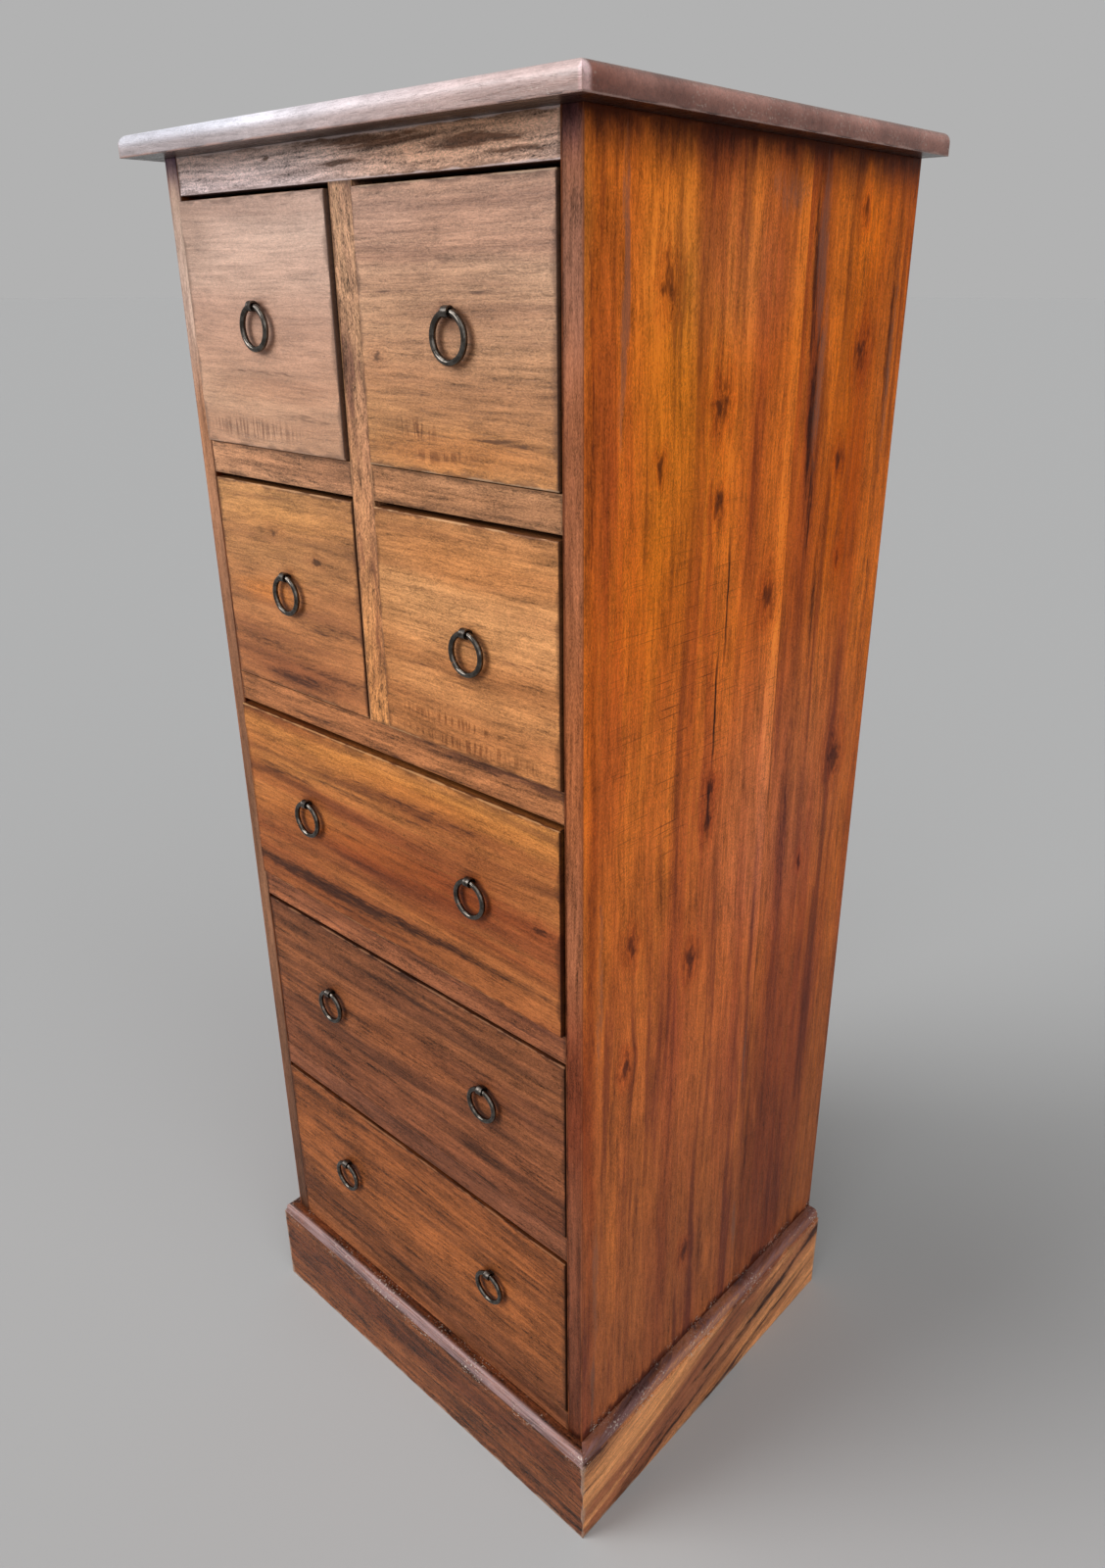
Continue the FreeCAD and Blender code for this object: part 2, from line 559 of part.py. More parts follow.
def drawer(name, row, middle_x, opening_width, pulls):
    """One drawer, with its rings, closed but standing a little out of the frame.

    pulls gives each eye's place from the middle of the drawer front: to the right, and up.
    """
    width = f"({opening_width} - 2 * dims.gap_side)"
    height = f"(dims.{row}_opening - dims.gap_above - dims.gap_below)"
    wall_height = f"({height} - dims.wall_drop)"
    corner = (middle_x, f"(dims.front_y - dims.{name}_proud)", f"(dims.{row}_bottom + dims.gap_below)")
    x, y, z = corner
    drawer_front(f"drawer_{name}_front", width, height, wall_height, list(pulls.values()), corner)
    drawer_walls(f"drawer_{name}_walls", width, wall_height, corner)
    drawer_bottom(f"drawer_{name}_bottom", width, corner)
    eyes = {side: (f"{x} + {aside}", f"{y} - dims.eye_reach", f"{z} + {height} / 2 + {rise}")
            for side, (aside, rise) in pulls.items()}
    pins = [split_pin(*eye) for eye in eyes.values()]
    node(group(f"drawer_{name}_pins", pins), f"drawer_{name}_pins")
    for side, eye in eyes.items():
        ring(f"ring_{name}{side}", *eye)


top_board()
side_panels()
for kind in ("top_rail", "middle_rail", "lower_rail", "lowest_rail", "bottom_rail"):
    stile_mortise = {"top_rail": "0", "middle_rail": "dims.rail_height - dims.tenon_length"}.get(kind)
    rail(kind, kind, "-dims.inner_width / 2", "dims.inner_width", stile_mortise)
rail("row_rail_left", "row_rail", "-dims.inner_width / 2", "dims.small_width")
rail("row_rail_right", "row_rail", "dims.stile_width / 2", "dims.small_width")
centre_stile()
inside_boards()
runners_and_kickers()
corner_blocks()
plinth()

drawer("top_left", "top_row", "-dims.small_middle", "dims.small_width", {"": ("0", "dims.pull_rise")})
drawer("top_right", "top_row", "dims.small_middle", "dims.small_width",
       {"": ("dims.top_right_pull_aside", "(dims.pull_rise - dims.top_right_pull_drop)")})
drawer("second_left", "second_row", "-dims.small_middle", "dims.small_width", {"": ("0", "dims.pull_rise")})
drawer("second_right", "second_row", "dims.small_middle", "dims.small_width",
       {"": ("dims.second_right_pull_aside", "(dims.pull_rise - dims.second_right_pull_drop)")})
LONG_DRAWERS = (("third", "dims.pull_rise"), ("fourth", "(dims.pull_rise + dims.fourth_pull_lift)"),
                ("fifth", "dims.pull_rise"))
for name, rise in LONG_DRAWERS:
    two_pulls = {"_left": ("-dims.pull_spacing / 2", rise), "_right": ("dims.pull_spacing / 2", rise)}
    drawer(name, f"{name}_row", "0", "dims.inner_width", two_pulls)

doc.recompute()
for thing in doc.Objects:
    if "Invalid" in thing.State or "Error" in thing.State:
        raise ValueError(f"{thing.Label}: {thing.State}")
os.makedirs("parts", exist_ok=True)
for thing in nodes:
    if thing.Shape.isNull() or not thing.Shape.isValid():
        raise ValueError(f"{thing.Label}: no valid shape")
    thing.Shape.exportStep(f"parts/{thing.Label}.step")
print(len(nodes), "pieces written")
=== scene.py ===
# %% [markdown]
# # A worn apothecary chest
#
# The solids of this chest have their boards, drawers and pulls in place. What they lack is what the eye
# sees first: striped hardwood under a rubbed varnish, dark ring pulls and the light of a plain studio. This
# lesson adds these, board by board. Lengths are in metres, marks on a board in millimetres. +X is to the
# right of someone who faces the drawers, +Y to the back and +Z up.

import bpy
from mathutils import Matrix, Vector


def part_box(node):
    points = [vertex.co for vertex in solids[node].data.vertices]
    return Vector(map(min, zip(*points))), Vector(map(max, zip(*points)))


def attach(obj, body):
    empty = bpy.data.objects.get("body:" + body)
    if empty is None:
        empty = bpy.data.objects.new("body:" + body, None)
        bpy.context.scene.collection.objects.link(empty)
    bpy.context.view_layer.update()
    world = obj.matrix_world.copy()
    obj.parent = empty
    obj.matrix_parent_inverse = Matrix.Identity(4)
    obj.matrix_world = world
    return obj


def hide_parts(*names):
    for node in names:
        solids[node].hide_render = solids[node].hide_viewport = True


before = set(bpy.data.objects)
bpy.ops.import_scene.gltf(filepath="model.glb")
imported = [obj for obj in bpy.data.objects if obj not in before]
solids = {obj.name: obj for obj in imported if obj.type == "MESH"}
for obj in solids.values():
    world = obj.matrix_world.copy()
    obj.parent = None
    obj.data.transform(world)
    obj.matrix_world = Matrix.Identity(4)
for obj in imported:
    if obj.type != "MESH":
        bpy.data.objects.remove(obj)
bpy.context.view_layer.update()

# %% [markdown]
# ## Where the photographer stood
#
# The picture was taken from close by, a little below the top of the chest, looking down past its right
# front corner. A camera can be placed by eye, but upright edges that lean towards each other give its
# height and lens away, and solving for them puts it here.

# %% Camera
import math
import bpy
from mathutils import Euler, Vector

scene = bpy.context.scene
lens = bpy.data.cameras.new("close_wide_view")
lens.sensor_width, lens.lens, lens.clip_end = 36, 25.72, 500
lens.shift_x, lens.shift_y = -0.0172, -0.0029
camera = bpy.data.objects.new("close_wide_view", lens)
camera.location = (0.7040, -0.7199, 1.1043)
camera.rotation_euler = Euler((math.radians(66.34), 0, math.radians(42.18)))
scene.collection.objects.link(camera)
scene.camera = camera
print("camera", [round(x, 3) for x in camera.location])

# %% [markdown]
# ## Tools for building node trees
#
# A finish is a tree of small nodes, and writing each out would bury the wood in bookkeeping. One helper
# makes a node and hands back its result, so that a tree reads like a sum. A value from another node gets a
# link, and tells which tree the new node belongs to.

# %% Small helpers for node trees
def feed(sockets, values):
    """Links results of other nodes to sockets, and sets plain values."""
    for key, value in values.items():
        if isinstance(value, bpy.types.NodeSocket):
            value.id_data.links.new(value, sockets[key])
        else:
            sockets[key].default_value = value


def add(kind, inputs, result=0, tree=None, **settings):
    """One node with its inputs; hands back one result, or all for None."""
    if tree is None:
        tree = next(value.id_data for value in inputs.values() if isinstance(value, bpy.types.NodeSocket))
    node = tree.nodes.new(kind)
    for name, value in settings.items():
        setattr(node, name, value)
    feed(node.inputs, inputs)
    return node.outputs if result is None else node.outputs[result]


print("helpers: feed, add")

# %% [markdown]
# ## Sums, blends and clouds
#
# Most nodes of a finish are of few kinds: arithmetic on one number or on three, a range stretched to
# another, two colours mixed, cloudy noise. Each gets a short name.

# %% Sums
from functools import partial


def sums(operation, a, b=0, clamp=False):
    """One step of arithmetic."""
    return add("ShaderNodeMath", {0: a, 1: b}, operation=operation, use_clamp=clamp)


plus, less, times = (partial(sums, operation) for operation in ("ADD", "SUBTRACT", "MULTIPLY"))


def vectors(operation, a, b=(0, 0, 0)):
    """One step of arithmetic on three numbers at once."""
    return add("ShaderNodeVectorMath", {0: a, 1: b}, operation=operation)


def scaled(vector, amount):
    """Three numbers times one."""
    return add("ShaderNodeVectorMath", {0: vector, "Scale": amount}, operation="SCALE")


def length(vector):
    """How long a vector is."""
    return add("ShaderNodeVectorMath", {0: vector}, result="Value", operation="LENGTH")


print("helpers: sums, vectors, scaled, length")


# %% Blends and clouds
def spread(value, low, high, to_low=0, to_high=1):
    """Stretches low..high to to_low..to_high, eased at both ends."""
    return add("ShaderNodeMapRange", {0: value, 1: low, 2: high, 3: to_low, 4: to_high},
               interpolation_type="SMOOTHSTEP")


def blend(amount, a, b, kind="MIX"):
    """Two colours laid over each other."""
    return add("ShaderNodeMix", {0: amount, 6: a, 7: b}, result=2, data_type="RGBA", blend_type=kind)


def clouds(place, stretch, detail=2, result=0):
    """Cloudy noise, with how many clouds go to a metre in each direction."""
    inputs = {"Vector": vectors("MULTIPLY", place, stretch), "Scale": 1, "Detail": detail}
    return add("ShaderNodeTexNoise", inputs, result=result)


print("helpers: spread, blend, clouds")

# %% [markdown]
# ## Groups, materials and colours
#
# An effect that several boards share is worth a node group, made once and used often. Colours are given as
# a painter reads them off a screen, from 0 to 255, and turned into amounts of light.

# %% Helpers for groups, materials and colours
def effect(name, takes, gives, nodes="Shader"):
    """An empty node group with named inputs and outputs, listed by kind."""
    tree = bpy.data.node_groups.new(name, f"{nodes}NodeTree")
    for direction, sockets in (("INPUT", takes), ("OUTPUT", gives)):
        for kind, labels in sockets.items():
            for label in labels.split():
                tree.interface.new_socket(label, in_out=direction, socket_type=f"NodeSocket{kind}")
    return tree, tree.nodes.new("NodeGroupInput").outputs, tree.nodes.new("NodeGroupOutput").inputs


def use(group, inputs):
    """Places a group and hands back its outputs."""
    return add("ShaderNodeGroup", inputs, result=None, node_tree=group)


def surface(name):
    """A new material, its node tree and the inputs of its shader."""
    material = bpy.data.materials.new(name)
    material.use_nodes = True
    return material, material.node_tree, material.node_tree.nodes["Principled BSDF"].inputs


def tint(red, green, blue):
    """A colour read off a screen, turned into light."""
    shares = [part / 255 for part in (red, green, blue)]
    return tuple(s / 12.92 if s <= 0.04045 else ((s + 0.055) / 1.055) ** 2.4 for s in shares) + (1,)


print("mid brown is", [round(part, 3) for part in tint(150, 89, 53)])

# %% [markdown]
# ## The floor
#
# The chest stands on an even grey without an edge. A floor that runs far past the picture, under a sky of
# the same grey, has no visible horizon. It lies a hair below the plinth, so that the two never fight for
# the same place.

# %% Floor
scene.view_settings.view_transform = "Standard"
GREY = 0.445
FLOOR_REACH = 150
FLOOR_LEVEL = -0.0004

floor_mesh = bpy.data.meshes.new("studio_floor")
corners = [(x * FLOOR_REACH, y * FLOOR_REACH, FLOOR_LEVEL) for x, y in ((-1, -1), (1, -1), (1, 1), (-1, 1))]
floor_mesh.from_pydata(corners, [], [(0, 1, 2, 3)])
floor = bpy.data.objects.new("studio_floor", floor_mesh)
scene.collection.objects.link(floor)
paint, _, coat = surface("studio_grey")
feed(coat, {"Base Color": (GREY, GREY, GREY, 1), "Roughness": 1, "Specular IOR Level": 0})
floor_mesh.materials.append(paint)
print("floor", 2 * FLOOR_REACH, "m wide")

# %% [markdown]
# ## The sky
#
# Light from all sides at once would wash the shadow out, so the sky gives less light than it shows. A light
# path node tells the two apart: what the camera sees, directly or in the varnish, is the grey of the floor.

# %% Sky
SKY_LIGHT = 0.22

sky = bpy.data.worlds.new("studio_sky")
sky.use_nodes = True
rays = add("ShaderNodeLightPath", {}, result=None, tree=sky.node_tree)
seen = plus(plus(rays["Is Camera Ray"], rays["Is Glossy Ray"]), rays["Is Transmission Ray"], clamp=True)
level = add("ShaderNodeMapRange", {0: seen, 3: SKY_LIGHT, 4: GREY})
feed(sky.node_tree.nodes["Background"].inputs, {"Color": level})
scene.world = sky
print("sky shows", GREY, "and gives", SKY_LIGHT)

# %% [markdown]
# ## Three soft suns
#
# The shadow falls softly to the right and back. Lamps close by would make a bright pool on the floor, so
# all lights are suns, wide enough for soft shadows: the window on the left, a lamp high above it that
# darkens the floor close to the plinth, and one behind the camera, whose shadow hides behind the chest.

# %% Three soft suns
def soft_sun(name, towards, strength, angle, colour):
    """A wide sun that shines from a direction onto the chest."""
    lamp = bpy.data.lights.new(name, "SUN")
    lamp.energy, lamp.angle, lamp.color = strength, math.radians(angle), colour
    sun = bpy.data.objects.new(name, lamp)
    sun.rotation_euler = Vector(towards).to_track_quat("Z", "Y").to_euler()
    scene.collection.objects.link(sun)


soft_sun("window_light", (-0.52, -0.74, 0.43), 1.80, 34, (0.99, 0.995, 1))
soft_sun("ceiling_light", (-0.34, -0.34, 0.876), 0.82, 30, (1, 1, 1))
soft_sun("room_light", (0.60, -0.50, 0.62), 1.50, 80, (0.985, 1, 1.005))
print(len(bpy.data.lights), "suns")

# %% [markdown]
# ## The figure of the wood
#
# The boards come from a tropical hardwood with long bands of light and dark, drawn-out fibres and open
# pores that show as short dark dashes. All are the same cloudy noise, pulled out along the grain by
# different amounts, so one group makes them for every board. It works on a grain vector: how far along the
# board, across it and into it. With three parts it gives a board's ends their end grain. A slow drift bends
# everything a little.

# %% Group: wood figure, its noises
figure, given, result = effect(
    "wood_figure",
    {"Vector": "Grain", "Color": "Pale Brown Dark", "Float": "Bands Width Lines Wander Flecks Pores"},
    {"Color": "Color", "Float": "Feather Fibre Pore"})
aside = times(less(clouds(given["Grain"], (2.5, 9, 9)), 0.5), given["Wander"])
bent = vectors("ADD", given["Grain"], add("ShaderNodeCombineXYZ", {1: aside, 2: aside}))
wide = vectors("DIVIDE", bent, given["Width"])
broad = clouds(wide, (1.8, 17, 17))
bands = clouds(wide, (2.6, 66, 66), detail=4)
fibre = clouds(bent, (17, 400, 400), detail=3)
dash = clouds(bent, (90, 560, 560))
fleck = clouds(bent, (560, 950, 950))
strand = clouds(bent, (22, 150, 150), detail=3)
mottle = clouds(bent, (14, 30, 30), detail=3)
shimmer = clouds(bent, (170, 28, 28), detail=1)
feather = times(plus(fibre, dash), 0.5)
pore = spread(clouds(bent, (95, 1500, 1500), detail=1), 0.60, 0.70)
print("wood_figure:", len(figure.nodes), "nodes of noise")

# %% [markdown]
# ## From noise to wood
#
# Three tones are laid over each other. Broad clouds choose between pale and brown, and bands add pale and
# dark, with edges ruffled by the fibres. Growth lines are contours of a slow noise, like the height lines
# of a map, so they run side by side and never cross. Finer noises make the wood lighter or darker from
# point to point. The pores come last.

# %% Group: wood figure, its colours
SHARES = ((fibre, 1), (strand, 0.7), (dash, 0.6), (fleck, 1.1), (mottle, 0.5), (shimmer, 0.12))

wood = blend(spread(broad, 0.34, 0.66), given["Brown"], given["Pale"])
ruffled = plus(bands, times(less(feather, 0.5), 0.45))
dark_bands = times(spread(ruffled, 0.52, 0.68), given["Bands"])
pale_bands = times(spread(ruffled, 0.47, 0.34), given["Bands"])
wood = blend(times(pale_bands, 0.7), wood, given["Pale"])
wood = blend(dark_bands, wood, given["Dark"])
contour = sums("PINGPONG", times(clouds(bent, (1.4, 15, 15), detail=1), 11), 0.5)
lines = times(spread(contour, 0.07, 0), spread(dash, 0.36, 0.56))
wood = blend(times(lines, given["Lines"]), wood, given["Dark"])
light = 1
for noise, share in SHARES:
    light = plus(light, times(times(less(noise, 0.5), share), given["Flecks"]))
filled = vectors("MULTIPLY", given["Dark"], (0.4, 0.4, 0.4))
wood = blend(times(pore, given["Pores"]), scaled(wood, light), filled)
feed(result, {"Color": wood, "Feather": feather, "Fibre": fibre, "Pore": pore})
print("wood_figure:", len(figure.nodes), "nodes")

# %% [markdown]
# ## Knots
#
# No noise puts a knot where this chest has one. A knot is a ragged dark spot with a reddish halo, and the
# grain flows round it. Its group masks both and squeezes the grain vector near them, so that bands drawn
# later part and close again. It takes the masks made so far and hands on the stronger ones, so that knots
# can be strung like beads.

# %% Group: knot
knot, given, result = effect(
    "knot", {"Vector": "Grain Centre", "Float": "Size Speck Mask Halo"},
    {"Vector": "Grain", "Float": "Mask Halo"})
away = vectors("SUBTRACT", given["Grain"], given["Centre"])
distance = sums("DIVIDE", length(vectors("MULTIPLY", away, (0.55, 1, 0))), given["Size"])
squeeze = scaled(vectors("MULTIPLY", away, (0, 1, 0)), spread(distance, 0, 3.2, 0.5, 0))
rag = less(given["Speck"], 0.5)
spot = spread(plus(distance, times(rag, 2.8)), 1, 0.1)
halo = spread(plus(distance, times(rag, 3)), 2.6, 0.4)
feed(result, {"Grain": vectors("SUBTRACT", given["Grain"], squeeze),
              "Mask": sums("MAXIMUM", given["Mask"], spot), "Halo": sums("MAXIMUM", given["Halo"], halo)})
print("knot:", len(knot.nodes), "nodes")

# %% [markdown]
# ## Spindles
#
# A dark streak is simpler: a long soft spindle, full in its middle and gone at its ends. It also serves for
# cracks, washes of colour and the places where scratches show. Spindles are strung like knots.

# %% Group: streak
streak, given, result = effect(
    "streak", {"Vector": "Grain Centre Reach", "Float": "Strength Mask"}, {"Float": "Mask"})
away = vectors("SUBTRACT", given["Grain"], given["Centre"])
distance = length(vectors("DIVIDE", away, given["Reach"]))
spindle = times(spread(distance, 1, 0.15), given["Strength"])
feed(result, {"Mask": sums("MAXIMUM", given["Mask"], spindle)})
print("streak:", len(streak.nodes), "nodes")

# %% [markdown]
# ## Rubbed edges, and dirt and painted shade at joints
#
# Hands and brooms have rubbed the varnish thin along every free arris, and where boards meet the wood is
# darkened, partly by wax and dirt and partly as painted shade. A point on an edge is close to two of the
# board's six sides at once, so the group takes the distance to the nearer side in each direction and keeps
# the middle one of the three. Noise makes wear and the darkening come and go.

# %% Group: edges
edges, given, result = effect(
    "board_edges", {"Vector": "Place Low High", "Float": "Reach"}, {"Float": "Mask"})
inside = vectors("MINIMUM", vectors("SUBTRACT", given["Place"], given["Low"]),
                 vectors("SUBTRACT", given["High"], given["Place"]))
x, y, z = add("ShaderNodeSeparateXYZ", {0: inside}, result=None)
least = sums("MINIMUM", sums("MINIMUM", x, y), z)
most = sums("MAXIMUM", sums("MAXIMUM", x, y), z)
middle = less(less(plus(plus(x, y), z), least), most)
patchy = spread(clouds(given["Place"], (45, 45, 45), detail=4), 0.34, 0.66, 0.1, 1)
reach = plus(times(given["Reach"], patchy), 0.0001)
feed(result, {"Mask": spread(sums("DIVIDE", middle, reach), 1, 0.2)})
print("board_edges:", len(edges.nodes), "nodes")

# %% [markdown]
# ## A board and its grain
#
# Every board gets a material of its own, which starts with the grain vector. A slant tilts the grain, and a
# seam starts another plank beyond a line, by stepping deeper into the noise. The walls of a drawer are one
# solid with two directions: the sides run from front to back, the back from side to side. Two noises push
# the grain about: a small push frays every line, and a large one lets marks that are set by hand waver as
# real ones do.

# %% Pushes and turns of the grain
DRAWER_WALL = 0.0122
DRAWER_BACK = 0.0225


def pushed(grain, stretch, push):
    """A grain vector, pushed about by a cloudy noise."""
    noise = vectors("SUBTRACT", clouds(grain, stretch, result=1), (0.5, 0.5, 0.5))
    return vectors("ADD", grain, vectors("MULTIPLY", noise, push))


def combined(along, across, into):
    """Three numbers as one vector."""
    return add("ShaderNodeCombineXYZ", {0: along, 1: across, 2: into})


def drawer_back(node, x, y):
    """Where the back of a drawer stands between its two sides."""
    low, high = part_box(node)
    half = (high.x - low.x) / 2
    within = sums("LESS_THAN", sums("ABSOLUTE", less(x, high.x - half)), half - DRAWER_WALL)
    return times(sums("GREATER_THAN", y, high.y - DRAWER_BACK), within)


print("drawer backs stand", DRAWER_BACK, "m deep")


# %% A board and its grain
from types import SimpleNamespace

GRAIN = {"x": "xzy", "z": "zyx", "y": "yzx", "flat": "xyz"}
FRAYED = ((60, 220, 220), (0.016, 0.0014, 0))
WAVERING = ((13, 55, 55), (0.03, 0.012, 0))


def grained(node, look):
    """A new material for one solid, with its directions laid out."""
    board = SimpleNamespace(node=node)
    board.material, board.tree, board.coat = surface(f"varnish_{node}")
    board.place = add("ShaderNodeTexCoord", {}, result="Object", tree=board.tree)
    board.axes = dict(zip("xyz", add("ShaderNodeSeparateXYZ", {0: board.place}, result=None)))
    along, across, into = (board.axes[axis] for axis in GRAIN[look.runs])
    across = plus(across, times(along, look.slant))
    grain = combined(along, across, into)
    if look.with_back:
        back = drawer_back(node, board.axes["x"], board.axes["y"])
        grain = blend(back, grain, combined(into, across, along))
    board.along, board.straight = along, grain
    if look.seam:
        board.beyond = sums("GREATER_THAN", across, look.seam)
        grain = combined(along, across, plus(into, board.beyond))
    board.grain = pushed(grain, *FRAYED)
    board.loose = pushed(board.grain, *WAVERING)
    return board


print("grain can run", ", ".join(GRAIN))

# %% [markdown]
# ## Stains and covers
#
# All that happens later is a stain or a cover. A stain multiplies: it darkens, brightens or reddens the
# wood, and the figure shows through. A cover hides: dust, wax, a crack. Where they go is a mask, mostly a
# string of spindles, each given in millimetres: how far along and across the board its middle lies, half
# its length and width, and then its strength, or for a wash its stain.

# %% Stains, covers and spindles
MM = 0.001
ENDLESS = 10


def stain(board, amount, shares):
    """Changes the wood by a share of red, green and blue."""
    board.wood = blend(amount, board.wood, (*shares, 1), kind="MULTIPLY")


def cover(board, amount, colour):
    """Lays a colour over the wood."""
    board.wood = blend(amount, board.wood, tint(*colour))


def spindles(board, places):
    """One mask for a string of spindles."""
    mask = 0
    for along, across, half_length, half_width, strength in places:
        mask = use(streak, {
            "Grain": board.loose, "Centre": (along * MM, across * MM, 0), "Strength": strength, "Mask": mask,
            "Reach": (half_length * MM, half_width * MM, ENDLESS)})["Mask"]
    return mask


print("marks are in units of", MM, "m")

# %% [markdown]
# ## Drawing the wood
#
# The grain is bent round the knots and the figure drawn on it. Each board starts from another place in the
# noise, its shift, so that no two are alike. A side panel's front edge was stained with the frame and has
# its own tones. The second plank of a panel differs a little from the first. A board may lean to another
# colour from its lower edge to its upper one, which paints light: the window's sheen towards the top of the
# fronts and the stile, and shade under the top board on the top rail.

# %% Drawing the wood
FRONT_EDGE = (0.0012, 0.0004)
FIGURE_AMOUNTS = "bands width lines wander flecks pores".split()


def knotted(board, look):
    """Bends the grain round every knot and keeps the spots and halos."""
    board.spots = board.halo = 0
    if look.knots:
        speck = clouds(board.grain, (110, 190, 190), detail=3)
    for along, across, size in look.knots:
        bead = use(knot, {"Grain": board.grain, "Centre": (along * MM, across * MM, 0), "Size": size * MM,
                          "Speck": speck, "Mask": board.spots, "Halo": board.halo})
        board.grain, board.spots, board.halo = bead["Grain"], bead["Mask"], bead["Halo"]


def figured(board, look):
    """Draws the figure in the board's three tones."""
    low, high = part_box(board.node)
    knotted(board, look)
    tones = [tint(*colour) for colour in (look.pale, look.brown, look.dark)]
    if look.front:
        board.ahead = spread(board.axes["y"], *(low.y + depth for depth in FRONT_EDGE))
        tones = [blend(board.ahead, tone, tint(*colour)) for tone, colour in zip(tones, look.front)]
    start = (look.shift, 1.7 * look.shift, 0.6 * look.shift)
    amounts = {name.capitalize(): getattr(look, name) for name in FIGURE_AMOUNTS}
    board.drawn = use(figure, {"Grain": vectors("ADD", board.grain, start), **amounts,
                               **dict(zip(("Pale", "Brown", "Dark"), tones))})
    board.wood = board.drawn["Color"]
    if look.seam:
        stain(board, board.beyond, look.second_tone)
    # The lean is painted light: sheen towards the top of the fronts and the stile, shade under the top board
    # on the top rail.
    if look.lean:
        climb = spread(board.axes["z"], low.z, high.z)
        painted_light_mix = blend(climb, *((*shares, 1) for shares in look.lean))
        board.wood = blend(1, board.wood, painted_light_mix, kind="MULTIPLY")


print("the figure takes", ", ".join(FIGURE_AMOUNTS))

# %% [markdown]
# ## Marks in the wood
#
# Broad soft washes come first, then streaks with feathered edges and knots with reddish halos. Both stain
# the wood towards its own deep tone, and a crack is simply dark. Two kinds of marks cross the grain: the
# chatter of a plane, a comb of short bars, and the scratches of a coarse saw. Both are noise stretched
# across the board, shown where a spindle lies.

# %% Marks in the wood
DEEP = 0.66
HALO_RED = (0.72, 0.52, 0.46)
CRACK = (34, 18, 12)
PLANE_MARK = (0.45, 0.38, 0.34)


def marked(board, look):
    """Lays all marks on the figure, the broad ones first."""
    board.deep = [part * DEEP for part in look.dark]
    deepening = [low / high for low, high in zip(tint(*board.deep)[:3], tint(*look.brown))]
    board.uneven = times(less(board.drawn["Feather"], 0.5), 2)
    for *spindle, shares in look.washes:
        stain(board, spindles(board, [(*spindle, 1)]), shares)
    if look.streaks:
        feathered = plus(spindles(board, look.streaks), board.uneven)
        stain(board, spread(feathered, 0.18, 0.82, 0, 0.9), deepening)
    if look.knots:
        stain(board, times(board.halo, look.redness), HALO_RED)
        stain(board, times(board.spots, 0.8), deepening)
    if look.cracks:
        cover(board, spindles(board, look.cracks), CRACK)
    if look.chatter:
        combed = spread(clouds(board.straight, (380, 34, 34), detail=1), 0.44, 0.62)
        stain(board, times(spindles(board, look.chatter), combed), PLANE_MARK)
    if look.scratches:
        scored = spread(clouds(board.straight, (700, 18, 18)), 0.58, 0.74)
        stain(board, times(spindles(board, look.scratches), scored), deepening)


print("a deep tone is", DEEP, "of the dark one")

# %% [markdown]
# ## Age
#
# A side gets darker towards the floor, under a thin brownish veil, and where damp got in, its varnish
# bloomed to a greyish brown. Round each pull sits a dark smudge, partly old polish and partly painted
# shadow of the eye, and beside each ring lies its painted shadow on the drawer front. A whole face can be
# stained, such as end grain that drank the stain and is darkened further as painted shade, or an inner
# face that no light reaches.

# %% Fading, and painted shadows round the pulls
EYE_SMUDGE_AND_SHADOW = (0.55, 0.48, 0.45)
RING_SHADOW = (0.52, 0.46, 0.44)


def faded(board, look):
    """Darkens a side towards the floor; its front edge goes its own way."""
    low, high, shares, veil, share = look.fade
    sunk = spread(board.along, high, low)
    if look.front:
        stain(board, times(sunk, board.ahead), look.front_fade)
        sunk = times(sunk, less(1, board.ahead))
    stain(board, sunk, shares)
    cover(board, times(sunk, share), veil)


def ring_shadowed(board, ring):
    """A dark smudge round the eye, partly polish and partly painted shadow, and the painted shadow of the
    ring.
    """
    low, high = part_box(ring)
    middle = (low + high) / 2
    stain(board, spindles(board, [(middle.x / MM, high.z / MM - 4, 16, 14, 1)]), EYE_SMUDGE_AND_SHADOW)
    # The circle sits a little right of and below the ring: it paints the ring's shadow on the wood.
    centre = Vector((middle.x + 0.002, 0, middle.z - 0.001))
    distance = length(vectors("MULTIPLY", vectors("SUBTRACT", board.place, centre), (1, 0, 1)))
    track = (high.x - low.x) / 2 - 0.002
    stain(board, spread(sums("ABSOLUTE", less(distance, track)), 0.0055, 0.0005), RING_SHADOW)


print("a ring leaves", RING_SHADOW)

# %% Age
BLOOM = (120, 88, 76)


def aged(board, look):
    """Fades, blooms and smudges the board, and stains its faces."""
    if look.fade:
        faded(board, look)
    if look.bloom:
        hazy = plus(spindles(board, look.bloom), board.uneven)
        cover(board, spread(hazy, 0.30, 1, 0, 0.62), BLOOM)
    for ring in look.pulls:
        ring_shadowed(board, ring)
    for axis, start, end, shares in look.faces:
        stain(board, spread(board.axes[axis], start, end), shares)


print("bloom is", BLOOM)

# %% [markdown]
# ## Wear
#
# Dirt and painted shade darken the wood where boards meet, and the free arrises are rubbed. A joint may lie
# inside the box of a board whose tenon goes on into the next one, so the box can be given other sides, and a
# side that is moved far away has no edge at all. Dust and a painted sheen lie on a ledge, more in some
# fibres than in others. Specks are tiny chips down to pale wood.

# %% Edges and ledges
FAR = 3


